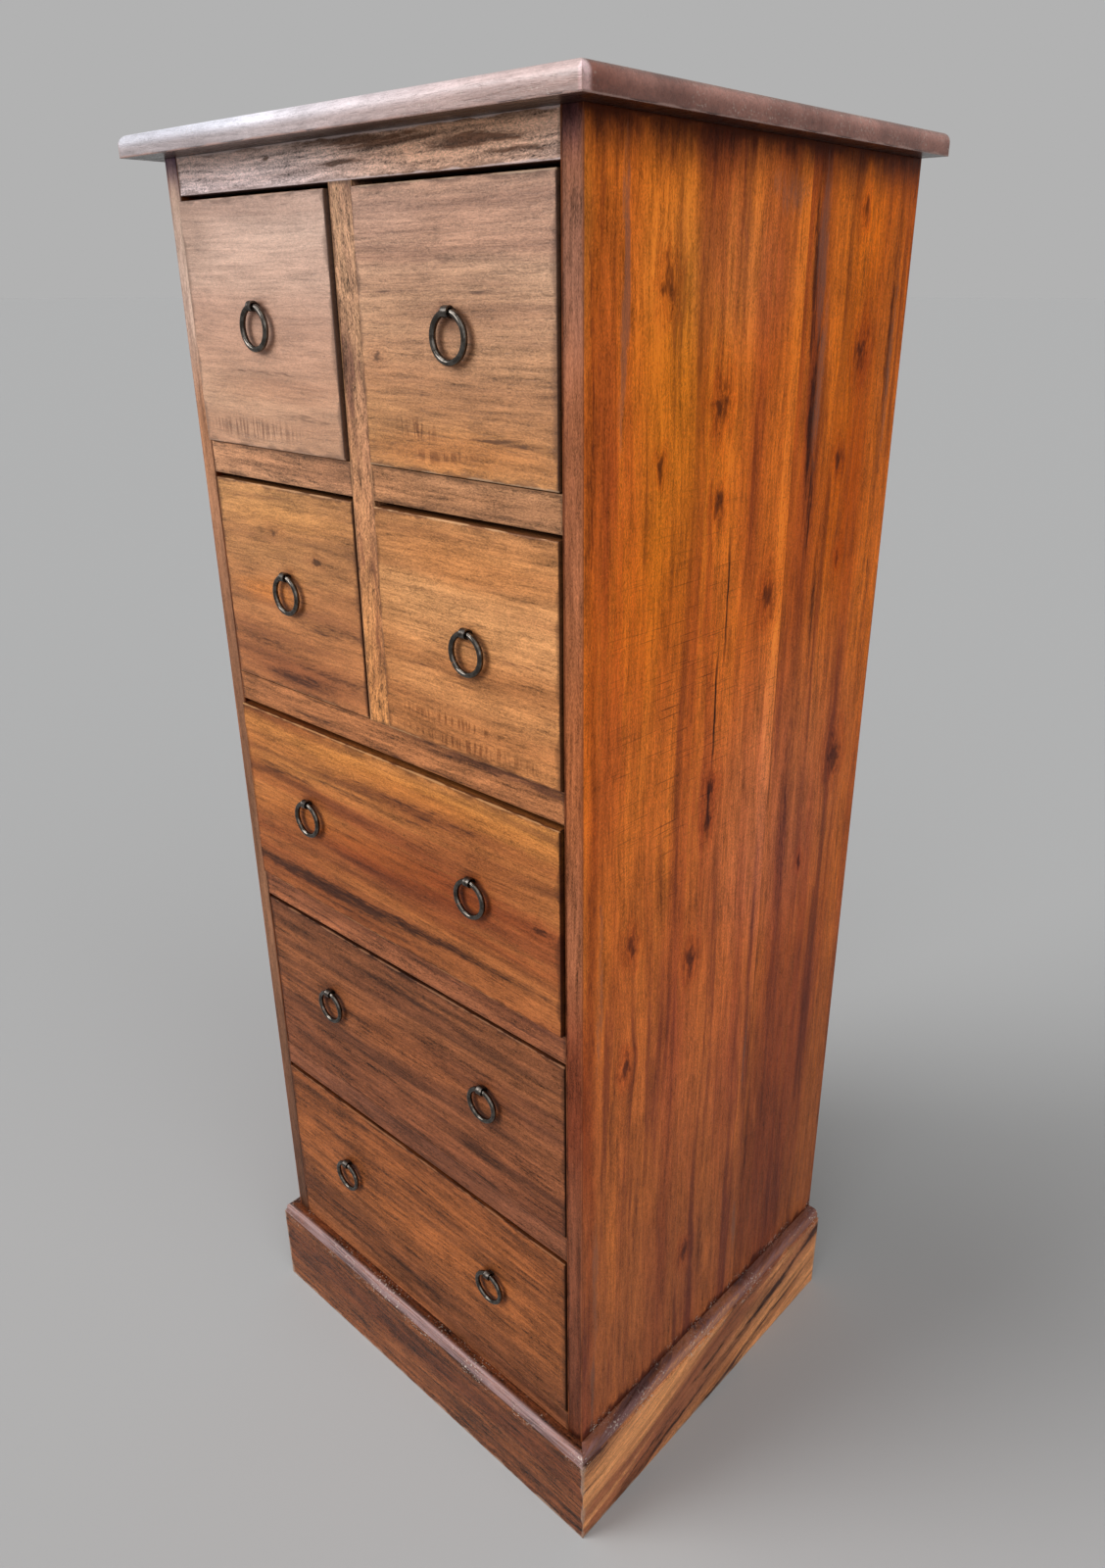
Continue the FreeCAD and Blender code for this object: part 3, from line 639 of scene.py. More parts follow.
def edge_mask(board, sides, reach, moved=Vector()):
    """Where the edges of a board are; sides of its box can be moved to a joint."""
    low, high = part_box(board.node)
    for axis, (start, end) in sides.items():
        setattr(low, axis, start)
        setattr(high, axis, end)
    place = vectors("ADD", board.place, moved) if moved.length else board.place
    return use(edges, {"Place": place, "Low": low + moved, "High": high + moved, "Reach": reach})["Mask"]


def between(board, bottom, top, lower_ease, upper_ease):
    """A mask between two heights, eased at both."""
    height = board.axes["z"]
    return times(spread(height, bottom, bottom + lower_ease), spread(height, top + upper_ease, top))


print("far away is", FAR, "m")

# %% Wear
OTHER_NOISE = Vector((0.3, 0.3, 0.3))
CHIP = (205, 190, 176)


def worn(board, look):
    """Darkens joints with dirt and painted shade, rubs arrises, lays dust with a painted sheen, and chips.
    """
    # The joints are darkened partly by dirt and partly as painted shade, such as under the top board and
    # beside the drawers' gaps.
    grime_and_shade = edge_mask(board, look.dirt, look.dirt_reach, OTHER_NOISE)
    cover(board, times(grime_and_shade, look.dirt_strength), board.deep)
    rubbed = edge_mask(board, look.rub, look.edge_reach)
    cover(board, times(rubbed, look.edge_strength), look.edge or look.pale)
    # On the plinth mouldings this dust is partly a painted sheen.
    if look.dust:
        bottom, top, colour, strength = look.dust
        dust_and_sheen_amount = spread(board.drawn["Fibre"], 0.36, 0.62, 0.45 * strength, strength)
        cover(board, times(between(board, bottom, top, 0.0015, 0.002), dust_and_sheen_amount), colour)
    if look.specks:
        bottom, top, strength = look.specks
        chips = spread(clouds(board.place, (420, 420, 620)), 0.59, 0.66)
        clusters = spread(clouds(board.place, (35, 35, 35)), 0.45, 0.60)
        chips = times(between(board, bottom, top, 0.006, 0.006), times(chips, clusters))
        cover(board, times(chips, strength), CHIP)


print("chips show", CHIP)

# %% [markdown]
# ## One varnish for every board
#
# The varnish is satin: fairly rough, rougher in the open pores, with fibres that stand up a little and
# every arris eased. The list has what a plain board would have, and each board names what it has instead.

# %% The varnished board
PLAIN = dict(
    slant=0, seam=None, lean=None, with_back=False, front=None,
    bands=0.6, width=1, lines=0.2, wander=0.03, flecks=1, pores=0.25, shift=0,
    knots=(), redness=0.2, streaks=(), cracks=(), washes=(), chatter=(), scratches=(),
    fade=None, bloom=(), pulls=(), faces=(), dust=None, specks=None,
    dirt={}, dirt_reach=0.007, dirt_strength=0.55,
    rub={}, edge=None, edge_reach=0.0022, edge_strength=0.6, gloss=0.4, shine=0.15)
EASED_ARRIS = 0.0012
RELIEF = 0.0005


def coated(board, look):
    """The coat of varnish: colour, roughness and a shallow relief."""
    rough = spread(board.drawn["Fibre"], 0.2, 0.8, look.gloss - 0.08, look.gloss + 0.12)
    rough = plus(rough, times(board.drawn["Pore"], 0.2))
    relief = less(board.drawn["Feather"], times(board.drawn["Pore"], 0.5))
    eased = add("ShaderNodeBevel", {"Radius": EASED_ARRIS}, tree=board.tree, samples=4)
    bump = add("ShaderNodeBump", {"Height": relief, "Strength": 0.5, "Distance": RELIEF, "Normal": eased})
    feed(board.coat, {"Base Color": board.wood, "Roughness": rough, "Specular IOR Level": look.shine,
                      "Normal": bump})


def dress(node, material):
    """Puts a material on a solid."""
    solids[node].data.materials.clear()
    solids[node].data.materials.append(material)


def varnished(node, runs, pale, brown, dark, **details):
    """Builds the finish of one solid step by step and puts it on."""
    look = SimpleNamespace(**{**PLAIN, **details}, runs=runs, pale=pale, brown=brown, dark=dark)
    board = grained(node, look)
    for step in (figured, marked, aged, worn, coated):
        step(board, look)
    dress(node, board.material)


print(len(PLAIN), "values make a board")

# %% [markdown]
# ## The drawer fronts
#
# Each front was cut from another board, and the maker didn't match them. What they share is wear: the level
# arrises are rubbed pale. The right end and the top are nearly black, partly end grain that drank the stain
# and partly painted shade, which makes the narrow gap beside each drawer read as a gap.

# %% What the fronts share
LEVEL = {"x": (-FAR, FAR)}
END_DEPTH = (0.0007, 0.0002)


def end_grain_and_shade(node):
    """The right end and the top of a front, darkened as end grain and as painted shade."""
    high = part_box(node)[1]
    return [("x", *(high.x - depth for depth in END_DEPTH), (0.16, 0.14, 0.13)),
            ("z", *(high.z - depth for depth in END_DEPTH), (0.35, 0.30, 0.28))]


def drawer_front(name, *tones, edge_strength=0.45, **details):
    """Varnishes the front of one drawer, and marks it round its pulls."""
    node = f"drawer_{name}_front"
    pulls = sorted(ring for ring in solids if ring.startswith(f"ring_{name}"))
    varnished(node, "x", *tones, pulls=pulls, rub=LEVEL, faces=end_grain_and_shade(node), edge_strength=edge_strength,
              **details)
    print(node, "with", len(pulls), "pulls")


# %% [markdown]
# ### The top row
#
# Light tan wood with a quiet figure. The light of the window turns these two almost grey, more so towards
# the top; part of that sheen is painted, as a lean and as pale washes near the top. A plane has left rows of
# small cross marks near the lower edges.

# %% Top row
drawer_front(
    "top_left", (208, 167, 140), (187, 143, 118), (140, 100, 77), edge_strength=0.6, flecks=0.8, lines=0.12,
    bands=0.2, shift=0.31, pores=0.15, shine=0.5, lean=((1, 0.92, 0.8), (0.99, 1.07, 1.22)),
    streaks=[(-110, 1043, 160, 4.5, 0.42), (-150, 1118, 70, 5, 0.4), (-60, 1011, 80, 4, 0.4)],
    washes=[
        (-110, 1030, 140, 18, (0.86, 0.8, 0.76)), (-80, 1125, 120, 20, (1.1, 1.1, 1.1)),
        (-200, 1150, 50, 50, (0.8, 0.78, 0.75)), (-50, 1000, 70, 30, (0.85, 0.82, 0.8))],
    chatter=[(-130, 999, 100, 12, 0.85)])
drawer_front(
    "top_right", (200, 152, 114), (176, 127, 95), (114, 75, 57), flecks=1.25, lines=0.15, bands=0.3,
    shift=1.13, pores=0.2, knots=[(32, 1061, 4)], shine=0.3, edge=(232, 196, 160),
    lean=((0.98, 0.86, 0.58), (1.02, 1.14, 1.41)),
    streaks=[
        (50, 1128, 90, 6, 0.4), (130, 1121, 90, 4, 0.4), (100, 1103, 150, 5, 0.4),
        (100, 1037, 140, 4.5, 0.42), (165, 1011, 80, 5, 0.6)],
    washes=[
        (110, 1000, 130, 26, (1.16, 1.04, 0.85)), (110, 1100, 150, 35, (0.82, 0.78, 0.76)),
        (20, 1150, 90, 30, (1.06, 1.1, 1.15))],
    chatter=[(70, 1016, 30, 10, 1), (90, 998, 60, 6, 0.8)])

# %% [markdown]
# ### The second row
#
# A deeper, golden brown. The left front has two knots and a dark lower edge. The right one has plane marks
# in two rows and two short upright cracks above its pull.

# %% Second row
drawer_front(
    "second_left", (194, 132, 81), (167, 108, 66), (98, 58, 41), flecks=1.2, bands=0.45, shift=2.41,
    knots=[(-126, 917, 5), (-68, 899, 5)], shine=0.18, edge=(226, 172, 124),
    lean=((1, 0.91, 0.88), (0.98, 1.07, 1.1)),
    streaks=[
        (-60, 842, 90, 8, 0.5), (-150, 815, 100, 11, 0.45), (-110, 787, 100, 11, 0.65),
        (-60, 802, 100, 8, 0.5)],
    washes=[
        (-140, 862, 70, 18, (1.22, 1.05, 0.75)), (-110, 790, 140, 26, (0.68, 0.6, 0.62)),
        (-110, 930, 130, 20, (1.14, 1.1, 1))])
drawer_front(
    "second_right", (203, 141, 89), (176, 115, 69), (119, 69, 43), flecks=1.35, lines=0.15, bands=0.25,
    shift=3.37, pores=0.2, edge=(236, 186, 136), lean=((0.96, 0.87, 0.78), (1.05, 1.13, 1.2)),
    streaks=[(100, 839, 150, 4.5, 0.45), (150, 861, 80, 4, 0.42)],
    cracks=[(110.5, 890, 0.7, 22, 0.5), (101, 890, 0.7, 18, 0.4)],
    washes=[
        (120, 925, 140, 30, (1.16, 1.1, 0.98)), (130, 843, 130, 28, (0.84, 0.8, 0.77)),
        (20, 860, 40, 100, (0.86, 0.84, 0.82))],
    chatter=[(90, 801, 100, 7, 0.9), (110, 785, 120, 7, 0.9)])

# %% [markdown]
# ### The long drawers
#
# The third front has gold and dark bands that run from end to end, the fourth is the darkest of all, and
# the fifth is an even brown with many short dark streaks.

# %% Long drawers
drawer_front(
    "third", (181, 113, 60), (139, 74, 40), (74, 38, 27), flecks=1.35, bands=0.55, shift=4.73,
    knots=[(186, 653, 6)], shine=0.1, edge=(222, 164, 108), lean=((0.79, 0.7, 0.75), (1.21, 1.29, 1.23)),
    streaks=[
        (-50, 697, 240, 6, 0.5), (-150, 690, 100, 6, 0.5), (20, 706, 150, 12, 0.35), (60, 713, 200, 7, 0.4),
        (-100, 587, 300, 13, 0.8), (80, 592, 240, 8, 0.6), (-20, 574, 300, 6, 0.5)],
    washes=[
        (50, 726, 260, 18, (1.12, 1.12, 0.95)), (0, 648, 270, 26, (0.86, 0.7, 0.6)),
        (60, 614, 240, 12, (1.3, 1.3, 1.15)), (-50, 576, 250, 20, (0.8, 0.76, 0.78))])
drawer_front(
    "fourth", (140, 84, 51), (108, 63, 41), (60, 36, 27), flecks=1.9, shift=5.91, shine=0.08,
    edge=(176, 122, 86), lean=((0.85, 0.8, 0.87), (1.19, 1.2, 1.15)),
    streaks=[
        (-10, 509, 200, 12, 0.6), (-160, 513, 100, 13, 0.5), (30, 521, 160, 8, 0.55),
        (115, 380, 110, 13, 0.62), (-140, 376, 150, 11, 0.5), (-100, 450, 160, 13, 0.35),
        (120, 435, 150, 13, 0.3), (0, 402, 260, 9, 0.35)],
    washes=[(0, 450, 200, 30, (1.15, 1.1, 1))])
drawer_front(
    "fifth", (147, 85, 45), (121, 69, 39), (68, 40, 26), flecks=2.1, bands=0.45, shift=6.17, shine=0.08,
    edge=(176, 116, 76), lean=((0.77, 0.78, 0.86), (1.24, 1.21, 1.13)),
    streaks=[
        (-10, 150, 130, 8, 0.65), (-120, 151, 60, 6, 0.6), (-80, 307, 20, 8, 0.5), (125, 247, 40, 6, 0.55),
        (40, 268, 60, 5, 0.55), (100, 190, 100, 5, 0.5), (-150, 220, 100, 5, 0.5), (-140, 268, 80, 5, 0.5),
        (0, 196, 160, 6, 0.4), (-50, 236, 120, 5, 0.4)],
    washes=[(0, 215, 200, 30, (1.06, 1.04, 1))])

# %% [markdown]
# ## The side panels
#
# Each side is glued up from two upright boards, amber at the top and redder towards the floor. Painted shade
# sits under the top board, and the wood is darker just over the plinth. The front edges belong to the frame
# and were stained with it. No light reaches the inner faces, which show only as dark lines beside the
# drawers.

# %% What both sides share
# At these joints the sides are darkened; under the top board the darkening is painted shade.
SIDE_JOINTS = {"z": (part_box("plinth_right")[1].z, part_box("side_right")[1].z), "y": (-FAR, FAR)}
TOWARDS_FLOOR = (0.1, 1, (0.5, 0.605, 1.82), (114, 72, 70), 0.2)
IN_SHADE = (0.1, 1, (0.52, 0.55, 0.85), (114, 72, 60), 0.08)
# A thin dark wash under the top board: painted shade of the overhang.
PAINTED_SHADE_UNDER_TOP = (1205, 0, 45, 800, (0.31, 0.3, 0.7))
OVER_PLINTH = (105, 0, 20, 800, (0.45, 0.4, 0.42))
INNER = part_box("side_right")[0].x
UNLIT = (0.16, 0.12, 0.11)
INNER_FACE = (0.003, 0.0004)
SIDE = dict(bands=0.7, lines=0.12, shine=0.06, rub={"z": (-FAR, FAR)}, edge=(168, 94, 56), edge_strength=0.4,
            dirt=SIDE_JOINTS, dirt_reach=0.008, dirt_strength=0.85)
print("sides are", round(2 * INNER, 3), "m apart")

# %% [markdown]
# ### Knots, cracks and scratches of the right side
#
# The right side carries most of the chest's character: many knots, a crack that opened along the grain in
# three steps, the hairline of the glued seam, and the scratches of a saw.

# %% Knots, cracks and scratches
right = {}
right["knots"] = [
    (1159, 134, 6), (1059, 146, 10), (975, 126, 6), (1030, -42, 11), (1107, -106, 9), (995, -110, 5),
    (961, -40, 7), (879, 34, 10), (895, 138, 5), (732, -33, 8), (703, -36, 7), (703, 166, 12),
    (627, -130, 8), (579, -50, 9), (511, -134, 8), (235, -38, 8), (607, 118, 5)]
right["cracks"] = [
    (890, -24, 75, 2.2, 1), (802, -32, 75, 2.4, 1), (716, -35, 45, 3.4, 0.85), (600, 56, 600, 0.9, 0.55)]
right["scratches"] = [(800, -70, 240, 160, 0.8), (720, 48, 340, 10, 0.8)]
print(len(right["knots"]), "knots and", len(right["cracks"]), "cracks")

# %% [markdown]
# ### Streaks and bloom of the right side
#
# Dark streaks run down both boards and along the upright edges. The bloom is a grey haze, strongest where
# the seam opens at the top, near the front edge, and just over the plinth.

# %% Streaks and bloom
right["streaks"] = [
    (1110, 67, 120, 8, 0.75), (1010, 78, 130, 10, 0.75), (950, 85, 70, 7, 0.7), (850, 104, 120, 8, 0.6),
    (985, -182, 200, 10, 0.5), (620, -178, 200, 10, 0.4), (700, 85, 260, 20, 0.4), (300, 62, 260, 8, 0.4),
    (330, -115, 160, 8, 0.45), (220, -12, 140, 10, 0.45), (240, 125, 160, 10, 0.4),
    (450, -150, 160, 7, 0.45), (1100, 190, 200, 12, 0.5), (800, 196, 300, 8, 0.4)]
right["bloom"] = [
    (1130, 76, 110, 12, 0.9), (1030, 86, 120, 10, 0.8), (1100, -150, 150, 7, 1), (600, -168, 160, 8, 0.7),
    (300, -172, 160, 8, 0.7), (1040, 194, 160, 8, 0.7), (1165, 30, 22, 50, 0.7), (200, 50, 70, 6, 0.9),
    (160, -174, 100, 5, 0.9), (420, 47, 100, 4, 0.8)]
print(len(right["streaks"]), "streaks and", len(right["bloom"]), "blooms")

# %% [markdown]
# ### Washes of the right side
#
# Varnish never lies evenly on so large a panel. Broad washes make it more yellow near the top and redder
# low down, and small ones pick out a pale plank beside the seam, the front edge and a few bright chips. Two
# thin ones paint shade under the top board, and two make the wood darker just over the plinth.

# %% Washes
right["washes"] = [
    (1040, -85, 220, 75, (1, 1.15, 0.72)), (1020, 140, 220, 55, (0.98, 0.95, 0.42)),
    (800, 46, 340, 10, (1.35, 1.45, 1.5)), (720, -100, 200, 100, (1.08, 1.16, 1.2)),
    (1000, 20, 240, 40, (0.9, 0.88, 0.9)), (700, 80, 200, 170, (0.95, 1.07, 2.6)),
    (1120, -188, 100, 12, (0.76, 0.92, 1.25)), (800, -188, 130, 12, (1.24, 1.13, 0.91)),
    (500, -188, 150, 12, (0.61, 0.42, 0.34)), (1040, -166, 220, 16, (0.7, 0.62, 0.85)),
    (310, -148, 140, 10, (1.35, 1.35, 1.2)), (330, 36, 160, 14, (1.3, 1.3, 1.2)),
    (280, -75, 160, 16, (0.8, 0.76, 0.8)), (1050, 78, 160, 18, (0.62, 0.56, 0.8)),
    (1120, -40, 90, 130, (0.93, 1.08, 2.2)), (620, -178, 620, 8, (0.74, 0.62, 0.62)),
    # The wash at 1202 mm and the second last one paint shade under the top board; the one at 112 mm and the
    # last one make the wood darker just over the plinth.
    (1202, 0, 20, 800, (0.5, 0.46, 0.5)), (1140, 170, 70, 70, (1.16, 1.16, 0.75)),
    (930, 140, 120, 70, (0.9, 0.8, 0.45)), (900, -120, 100, 80, (1, 1, 0.72)),
    (500, 20, 200, 280, (1.12, 1.1, 1.35)), (331, 74, 30, 3, (1.6, 1.7, 1.7)),
    (112, 0, 10, 800, (0.42, 0.37, 0.38)), PAINTED_SHADE_UNDER_TOP, OVER_PLINTH]
print(len(right["washes"]), "washes")

# %% [markdown]
# ### Two panels
#
# The left side gets the same wood with a quieter figure, because nothing shows what it really looks like.

# %% Two side panels
varnished(
    "side_right", "z", (250, 132, 40), (208, 99, 34), (118, 49, 23), **SIDE, **right, flecks=1.35,
    wander=0.02, shift=7.77, seam=0.055, second_tone=(0.8, 0.77, 0.72), fade=TOWARDS_FLOOR, redness=0.7,
    faces=[("x", *(INNER + depth for depth in INNER_FACE), UNLIT)],
    front=((173, 106, 71), (141, 84, 55), (90, 48, 32)), front_fade=(0.5, 0.44, 0.5),
    specks=(0.104, 0.116, 0.9))
varnished(
    "side_left", "z", (214, 114, 48), (174, 86, 40), (102, 46, 26), **SIDE, flecks=1.1, wander=0.025,
    shift=9.2, seam=-0.04, second_tone=(0.85, 0.82, 0.88), fade=IN_SHADE,
    faces=[("x", *(-INNER - depth for depth in INNER_FACE), UNLIT)],
    front=((176, 124, 92), (153, 107, 78), (100, 65, 48)), front_fade=(0.24, 0.22, 0.23),
    knots=[(920, 50, 9), (550, -90, 8), (310, 110, 7)], cracks=[(600, -40, 600, 0.9, 0.55)],
    scratches=[(700, 50, 220, 150, 0.5)], streaks=[(750, 100, 260, 12, 0.5), (450, -120, 300, 16, 0.4)],
    washes=[
        # The first wash paints the window's sheen at the top of the front edge.
        (1120, -188, 130, 12, (1.41, 2.1, 3.1)), (800, -188, 140, 12, (0.8, 0.77, 0.77)),
        (500, -188, 150, 12, (1.3, 1.29, 1.27)), PAINTED_SHADE_UNDER_TOP, OVER_PLINTH])
print("two side panels varnished")

# %% [markdown]
# ## Rails
#
# The frame round the drawers is made of narrow strips from the same stack. Each row of the table has a
# rail's three tones, its bands, how much its grain wanders, where in the noise it starts and how much it
# shines. The top rail's pale grey tones paint the sheen of the window, it is browner on its right,
# painted shade darkens it towards the top board, and it carries dark blotches.

# %% The wood of the rails
FRAME_WOOD = {
    # The top rail's pale grey tones paint the window's sheen on it.
    "top_rail": ((238, 216, 213), (206, 181, 175), (140, 101, 81), 0.2, 0.03, 0.4, 0.12),
    "row_rail_left": ((185, 133, 97), (160, 110, 78), (105, 68, 47), 0.45, 0.03, 1.6, 0.2),
    "row_rail_right": ((185, 133, 94), (158, 108, 73), (101, 66, 46), 0.45, 0.03, 2.9, 0.15),
    "middle_rail": ((177, 113, 70), (139, 87, 55), (80, 47, 34), 0.85, 0.03, 3.8, 0.12),
    "lower_rail": ((163, 98, 63), (130, 76, 49), (75, 42, 33), 0.9, 0.04, 4.4, 0.1),
    "lowest_rail": ((144, 86, 57), (120, 71, 48), (81, 49, 38), 0.5, 0.02, 5.2, 0.08),
    "bottom_rail": ((140, 84, 52), (113, 66, 43), (64, 38, 28), 0.6, 0.02, 6.6, 0.08),
}
BLOTCHES = {
    "top_rail": [
        (60, 1191, 90, 5, 0.95), (130, 1186, 70, 5, 0.9), (0, 1183, 50, 3, 0.8), (170, 1178, 60, 3, 0.8),
        (20, 1195, 120, 5, 0.9), (-85, 1190, 6, 3, 0.9)],
    "lower_rail": [(-120, 545, 90, 4, 0.5), (50, 556, 80, 4, 0.5), (160, 545, 60, 4, 0.5)],
    "middle_rail": [(-100, 757, 100, 4, 0.5), (100, 768, 100, 3, 0.5)],
}
# The top rail is washed browner on its right; its lean paints shade towards the top board.
BROWNER_RIGHT = {"top_rail": [(120, 1186, 200, 50, (1.02, 0.78, 0.56)), (-160, 1186, 120, 50, (1, 0.98, 0.98))]}
SHADED = {"top_rail": ((1.08, 1.10, 1.12), (0.84, 0.76, 0.68))}
print(len(FRAME_WOOD), "rails in the table")

# %% [markdown]
# ## Rails and stile
#
# Dirt has drawn a dark line at each joint. A rail's tenons go on into the sides, so the joints are where
# the sides and the stile begin. Behind its front edge a rail is out of the light. The centre stile was cut
# across the run of the grain, so its bands climb at a slant.

# %% The front frame
HALF_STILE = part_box("centre_stile")[1].x
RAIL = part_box("top_rail")[0]
UNSEEN = ("y", RAIL.y + 0.001, RAIL.y + 0.006, (0.22, 0.18, 0.16))
JOINT_ENDS = {"row_rail_left": (-INNER, -HALF_STILE), "row_rail_right": (HALF_STILE, INNER)}
for node, (*tones, bands, wander, shift, shine) in FRAME_WOOD.items():
    varnished(node, "x", *tones, bands=bands, wander=wander, flecks=1.8, shift=shift, shine=shine,
              lean=SHADED.get(node), streaks=BLOTCHES.get(node, ()), washes=BROWNER_RIGHT.get(node, ()), rub=LEVEL,
              faces=[UNSEEN], dirt={"x": JOINT_ENDS.get(node, (-INNER, INNER))}, dirt_reach=0.005)
varnished(
    "centre_stile", "z", (200, 147, 103), (165, 113, 84), (90, 55, 43), bands=0.8, slant=0.22, flecks=2.2,
    shift=7.1, lean=((1.06, 0.88, 0.6), (0.92, 1.04, 1.24)), rub={"z": (-FAR, FAR)},
    dirt={"z": (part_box("middle_rail")[1].z, RAIL.z)}, dirt_reach=0.005, shine=0.2)
print(len(FRAME_WOOD) + 1, "frame pieces varnished")

# %% [markdown]
# ## The top
#
# The top board runs from side to side, so its right edge shows end grain, dark and rough. Its varnish is
# the dullest of all, a purple brown. Wear and a painted sheen turn the rounded front edge a pale grey, more
# so towards the left, and painted shade darkens it towards the lower arris. The underside is painted nearly
# black as shade.

# %% Top board
low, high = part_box("top_board")
varnished(
    "top_board", "flat", (146, 106, 92), (118, 82, 70), (76, 48, 42), flecks=0.6, pores=0.2, lines=0.1,
    bands=0.25, shift=8.3, gloss=0.28, shine=0.5, specks=(1.198, 1.212, 0.5), edge=(190, 150, 138),
    streaks=[(0, 20, 300, 1.6, 0.8)], dirt_strength=0.2,
    # The two washes and the first face stain paint the window's sheen on the front edge, paler to the left;
    # the third and fourth face stains paint shade on its lower part and on the underside.
    washes=[(-260, -210, 320, 60, (1.18, 1.32, 1.38)), (260, -210, 360, 60, (0.63, 0.49, 0.43))],
    faces=[
        ("y", low.y + 0.009, low.y + 0.004, (3.3, 6.2, 9)),
        ("x", high.x - 0.004, high.x - 0.001, (1.72, 1.64, 1.76)),
        ("z", high.z - 0.004, low.z + 0.005, (0.58, 0.5, 0.46)),
        ("z", low.z + 0.0014, low.z + 0.0002, (0.2, 0.16, 0.15))])
print("top board varnished")

# %% [markdown]
# ## The plinth
#
# The front board of the plinth is dark and plain. The right one is the odd one out: golden sapwood with
# dark streaks that climb at a slant, so its grain is tilted. Polish, dust and a painted sheen turn the
# moulding on top a purple grey, the corner behind it is darker, a thin painted shadow lies under the front
# moulding, and feet and brooms have chipped the arrises.

# %% Plinth boards
# The dust on the mouldings is partly a painted sheen of the window on their rounded tops.
MOULDING = (0.0975, 0.1076)
CREVICE = ("z", 0.1074, 0.1087, (0.45, 0.38, 0.38))
NO_JOINTS = dict.fromkeys("xyz", (-FAR, FAR))
PLINTH = dict(faces=[CREVICE], specks=(0.088, 0.106, 0.8), dirt=NO_JOINTS, edge=(196, 164, 142),
              edge_reach=0.0055, edge_strength=0.5, rub={"z": (0, FAR)})
varnished(
    "plinth_front", "x", (120, 69, 38), (93, 49, 28), (56, 30, 19), **PLINTH, flecks=3, shift=9.9,
    gloss=0.34, shine=0.12, dust=(*MOULDING, (166, 140, 140), 0.8),
    # A thin dark line just under the moulding: painted shadow.
    washes=[(0, 98.5, 600, 4, (0.5, 0.45, 0.45))])
varnished(
    "plinth_right", "y", (239, 163, 104), (158, 94, 64), (74, 45, 37), **PLINTH, flecks=1.3, width=1.3,
    bands=1, slant=-0.22, wander=0.1, shift=10.4, shine=0.1, dust=(0.0985, 0.1085, (136, 100, 98), 0.85),
    streaks=[
        (-100, 45, 70, 6, 0.6), (-50, 30, 80, 7, 0.6), (0, 55, 70, 6, 0.6), (80, 30, 90, 9, 0.5),
        (130, 55, 60, 6, 0.5), (150, 8, 50, 8, 0.45)],
    washes=[
        (-100, 79, 70, 12, (1.5, 1.6, 1.5)), (46, 40, 60, 11, (1.5, 1.6, 1.5)),
        (146, -10, 60, 12, (0.7, 0.65, 0.65)), (-120, 35, 80, 12, (0.65, 0.55, 0.5)),
        (20, 12, 90, 12, (0.7, 0.6, 0.55))])
varnished(
    "plinth_left", "y", (140, 86, 56), (110, 66, 44), (66, 38, 28), **PLINTH, bands=0.8, shift=11.2,
    dust=(*MOULDING, (150, 120, 114), 0.7))
print("three plinth boards varnished")

# %% [markdown]
# ## Inside and behind
#
# Nobody varnished what nobody was meant to see. The drawer sides, bottoms and runners are bare planed wood,
# pale and dry, and the back is a thin bare panel. The same function makes these too, paler and coarser.

# %% Bare wood
BARE = dict(pale=(196, 158, 112), brown=(176, 136, 92), dark=(128, 92, 60), bands=0.5, gloss=0.65)
for node in solids:
    if node.endswith(("_walls", "_runners", "_kickers", "partition")):
        varnished(node, "y", **BARE, shift=len(node), with_back=node.endswith("_walls"))
    elif node.endswith(("_bottom", "shelf")):
        varnished(node, "flat", **BARE, shift=len(node))
for node in ("back_panel", "back_rail", "corner_blocks"):
    varnished(node, "z", (186, 136, 92), (162, 114, 76), (112, 74, 50), shift=len(node), gloss=0.7)
print("bare wood done")

# %% [markdown]
# ## The metal of the pulls
#
# The rings are dark iron, browned with handling, with a thin bright line where the light runs along the
# wire. The eyes that hold them are duller and rougher. The colour of a metal is that of its reflection: a
# dark grey in two tones, in patches as fine as hammer marks.

# %% Two metals
def forged(name, bright, dim, gloss):
    """A hand-worked metal: two tones in small patches, rougher in some places."""
    material, tree, coat = surface(name)
    place = add("ShaderNodeTexCoord", {}, result="Object", tree=tree)
    patches = clouds(place, (240, 240, 240), detail=4)
    hammered = clouds(place, (700, 700, 700))
    feed(coat, {
        "Base Color": blend(spread(patches, 0.38, 0.64), tint(*dim), tint(*bright)), "Metallic": 1,
        "Roughness": spread(patches, 0.3, 0.7, gloss + 0.08, gloss - 0.03),
        "Normal": add("ShaderNodeBump", {"Height": hammered, "Strength": 0.03, "Distance": 0.0004})})
    return material


ring_iron = forged("browned_iron", (100, 94, 88), (72, 67, 62), 0.15)
eye_metal = forged("rubbed_eye", (104, 98, 92), (58, 52, 48), 0.32)
for node in solids:
    if node.endswith("_pins"):
        dress(node, eye_metal)
print("metals:", ring_iron.name, eye_metal.name)

# %% [markdown]
# ## A bent ring
#
# A ring pull is round wire bent to a circle until its ends meet. The solids have an eight-sided wire, which
# shows close up. Ten rings that differ only in place are work for Geometry Nodes: an arc that stops just
# short of a full turn, a round section swept along it, and a little noise so that no two are quite true.

# %% Geometry Nodes: a bent ring
SEAM = math.radians(215)

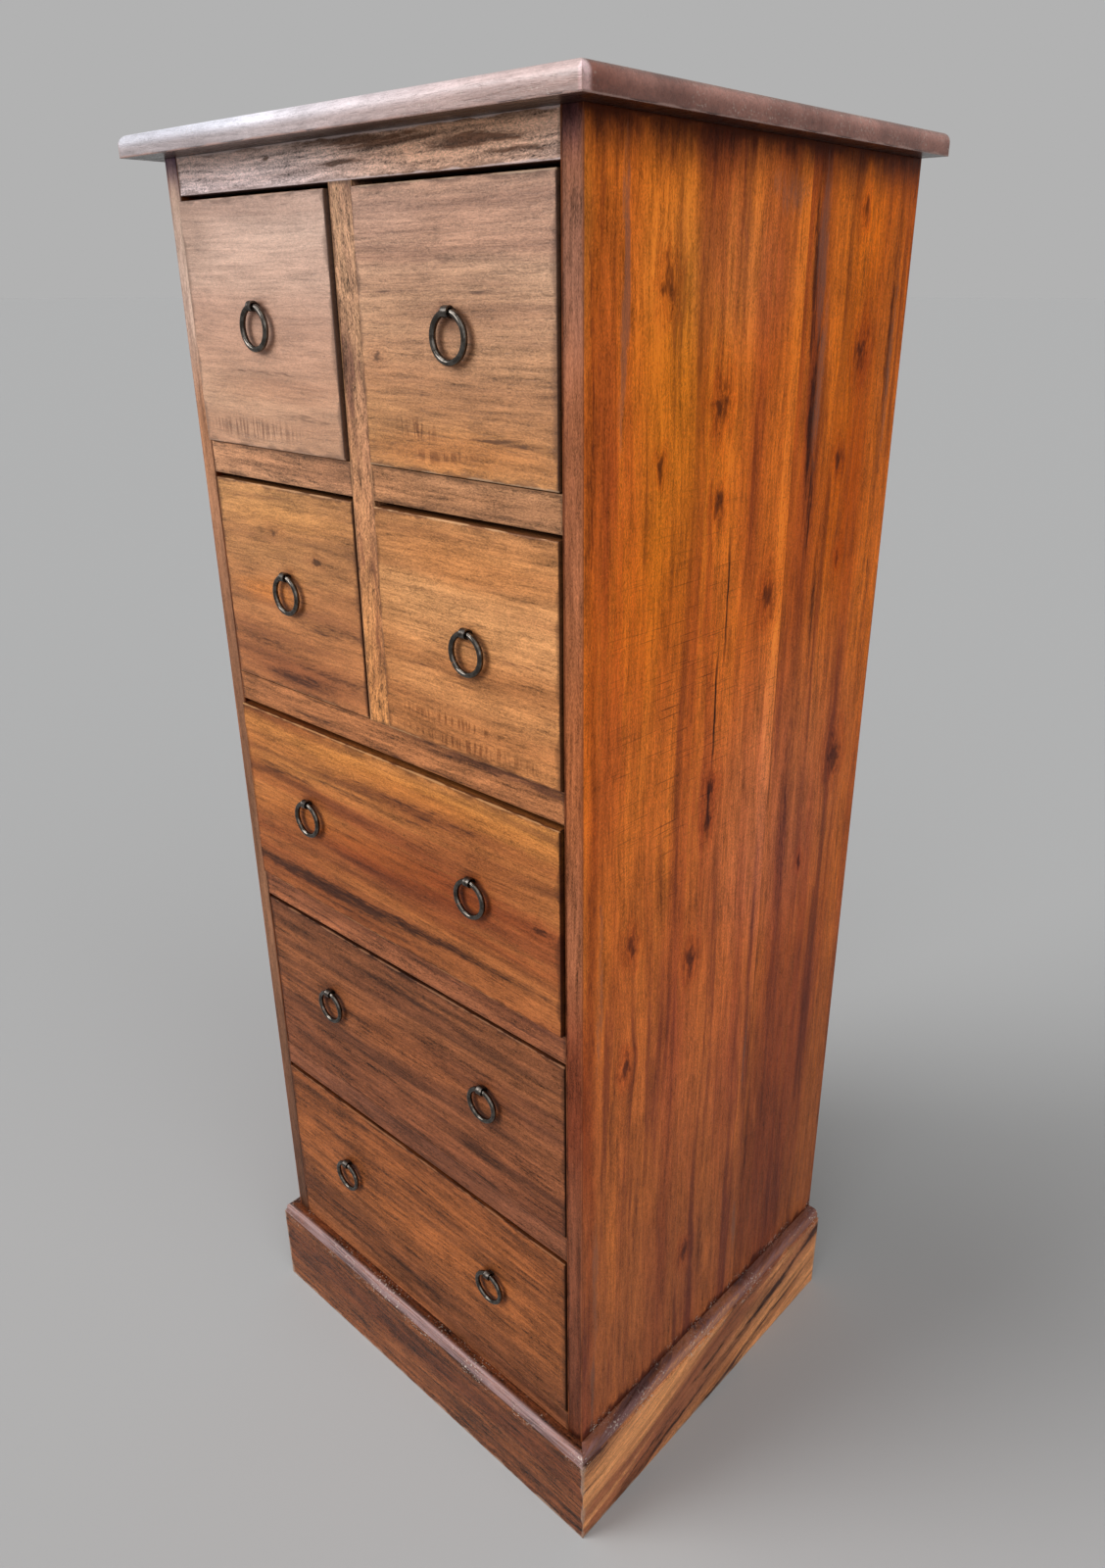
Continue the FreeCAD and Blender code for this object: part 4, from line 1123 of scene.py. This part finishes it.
ring_tree, given, result = effect(
    "bent_ring",
    {"Float": "Radius Wire Opening Unevenness Seed", "Vector": "Centre", "Material": "Metal"},
    {"Geometry": "Geometry"}, nodes="Geometry")
arc = add("GeometryNodeCurveArc", {"Resolution": 97, "Radius": given["Radius"], "Start Angle": SEAM,
                                   "Sweep Angle": less(math.tau, given["Opening"])})
section = add("GeometryNodeCurvePrimitiveCircle", {"Resolution": 18, "Radius": given["Wire"]})
wire = add("GeometryNodeCurveToMesh", {"Curve": arc, "Profile Curve": section, "Fill Caps": True})
upright = add("GeometryNodeTransform", {"Geometry": wire, "Translation": given["Centre"],
                                        "Rotation": (math.radians(90), 0, 0)})
lumps = add("ShaderNodeTexNoise", {"W": given["Seed"], "Scale": 110, "Detail": 1}, noise_dimensions="4D")
normal = add("GeometryNodeInputNormal", {}, tree=ring_tree)
dent = scaled(normal, times(less(lumps, 0.6), given["Unevenness"]))
uneven = add("GeometryNodeSetPosition", {"Geometry": upright, "Offset": dent})
smooth = add("GeometryNodeSetShadeSmooth", {"Geometry": uneven})
ring = add("GeometryNodeSetMaterial", {"Geometry": smooth, "Material": given["Metal"]})
feed(result, {"Geometry": ring})
print("bent_ring:", len(ring_tree.nodes), "nodes")

# %% [markdown]
# ## Ten rings
#
# Size and place of each ring come from the box of its solid, which it replaces, and it swings on the same
# body. The wire is a little fuller than the solid's, as it looks on the chest. The tree runs once for every
# ring, and its result is kept as a plain mesh.

# %% Ten rings from the tree
FULLER = 1.2
OPENING = math.radians(1.6)
UNEVENNESS = 0.00025


def grown(name, tree, values):
    """An object with the plain mesh that a Geometry Nodes tree makes."""
    piece = bpy.data.objects.new(name, bpy.data.meshes.new("holder"))
    scene.collection.objects.link(piece)
    modifier = piece.modifiers.new("grow", "NODES")
    modifier.node_group = tree
    for socket in tree.interface.items_tree:
        if socket.in_out == "INPUT":
            modifier[socket.identifier] = values[socket.name]
    piece.data = bpy.data.meshes.new_from_object(piece.evaluated_get(bpy.context.evaluated_depsgraph_get()))
    piece.data.name = name
    piece.modifiers.clear()
    return piece


ring_solids = sorted(node for node in solids if node.startswith("ring_"))
for seed, node in enumerate(ring_solids):
    low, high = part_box(node)
    half_wire = (high.y - low.y) / 2
    piece = grown(f"bent_{node}", ring_tree, {
        "Radius": (high.x - low.x) / 2 - half_wire, "Wire": half_wire * FULLER, "Seed": float(seed),
        "Centre": tuple((low + high) / 2), "Opening": OPENING, "Unevenness": UNEVENNESS, "Metal": ring_iron})
    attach(piece, node)
    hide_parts(node)
print(len(ring_solids), "rings of", len(piece.data.polygons), "faces")
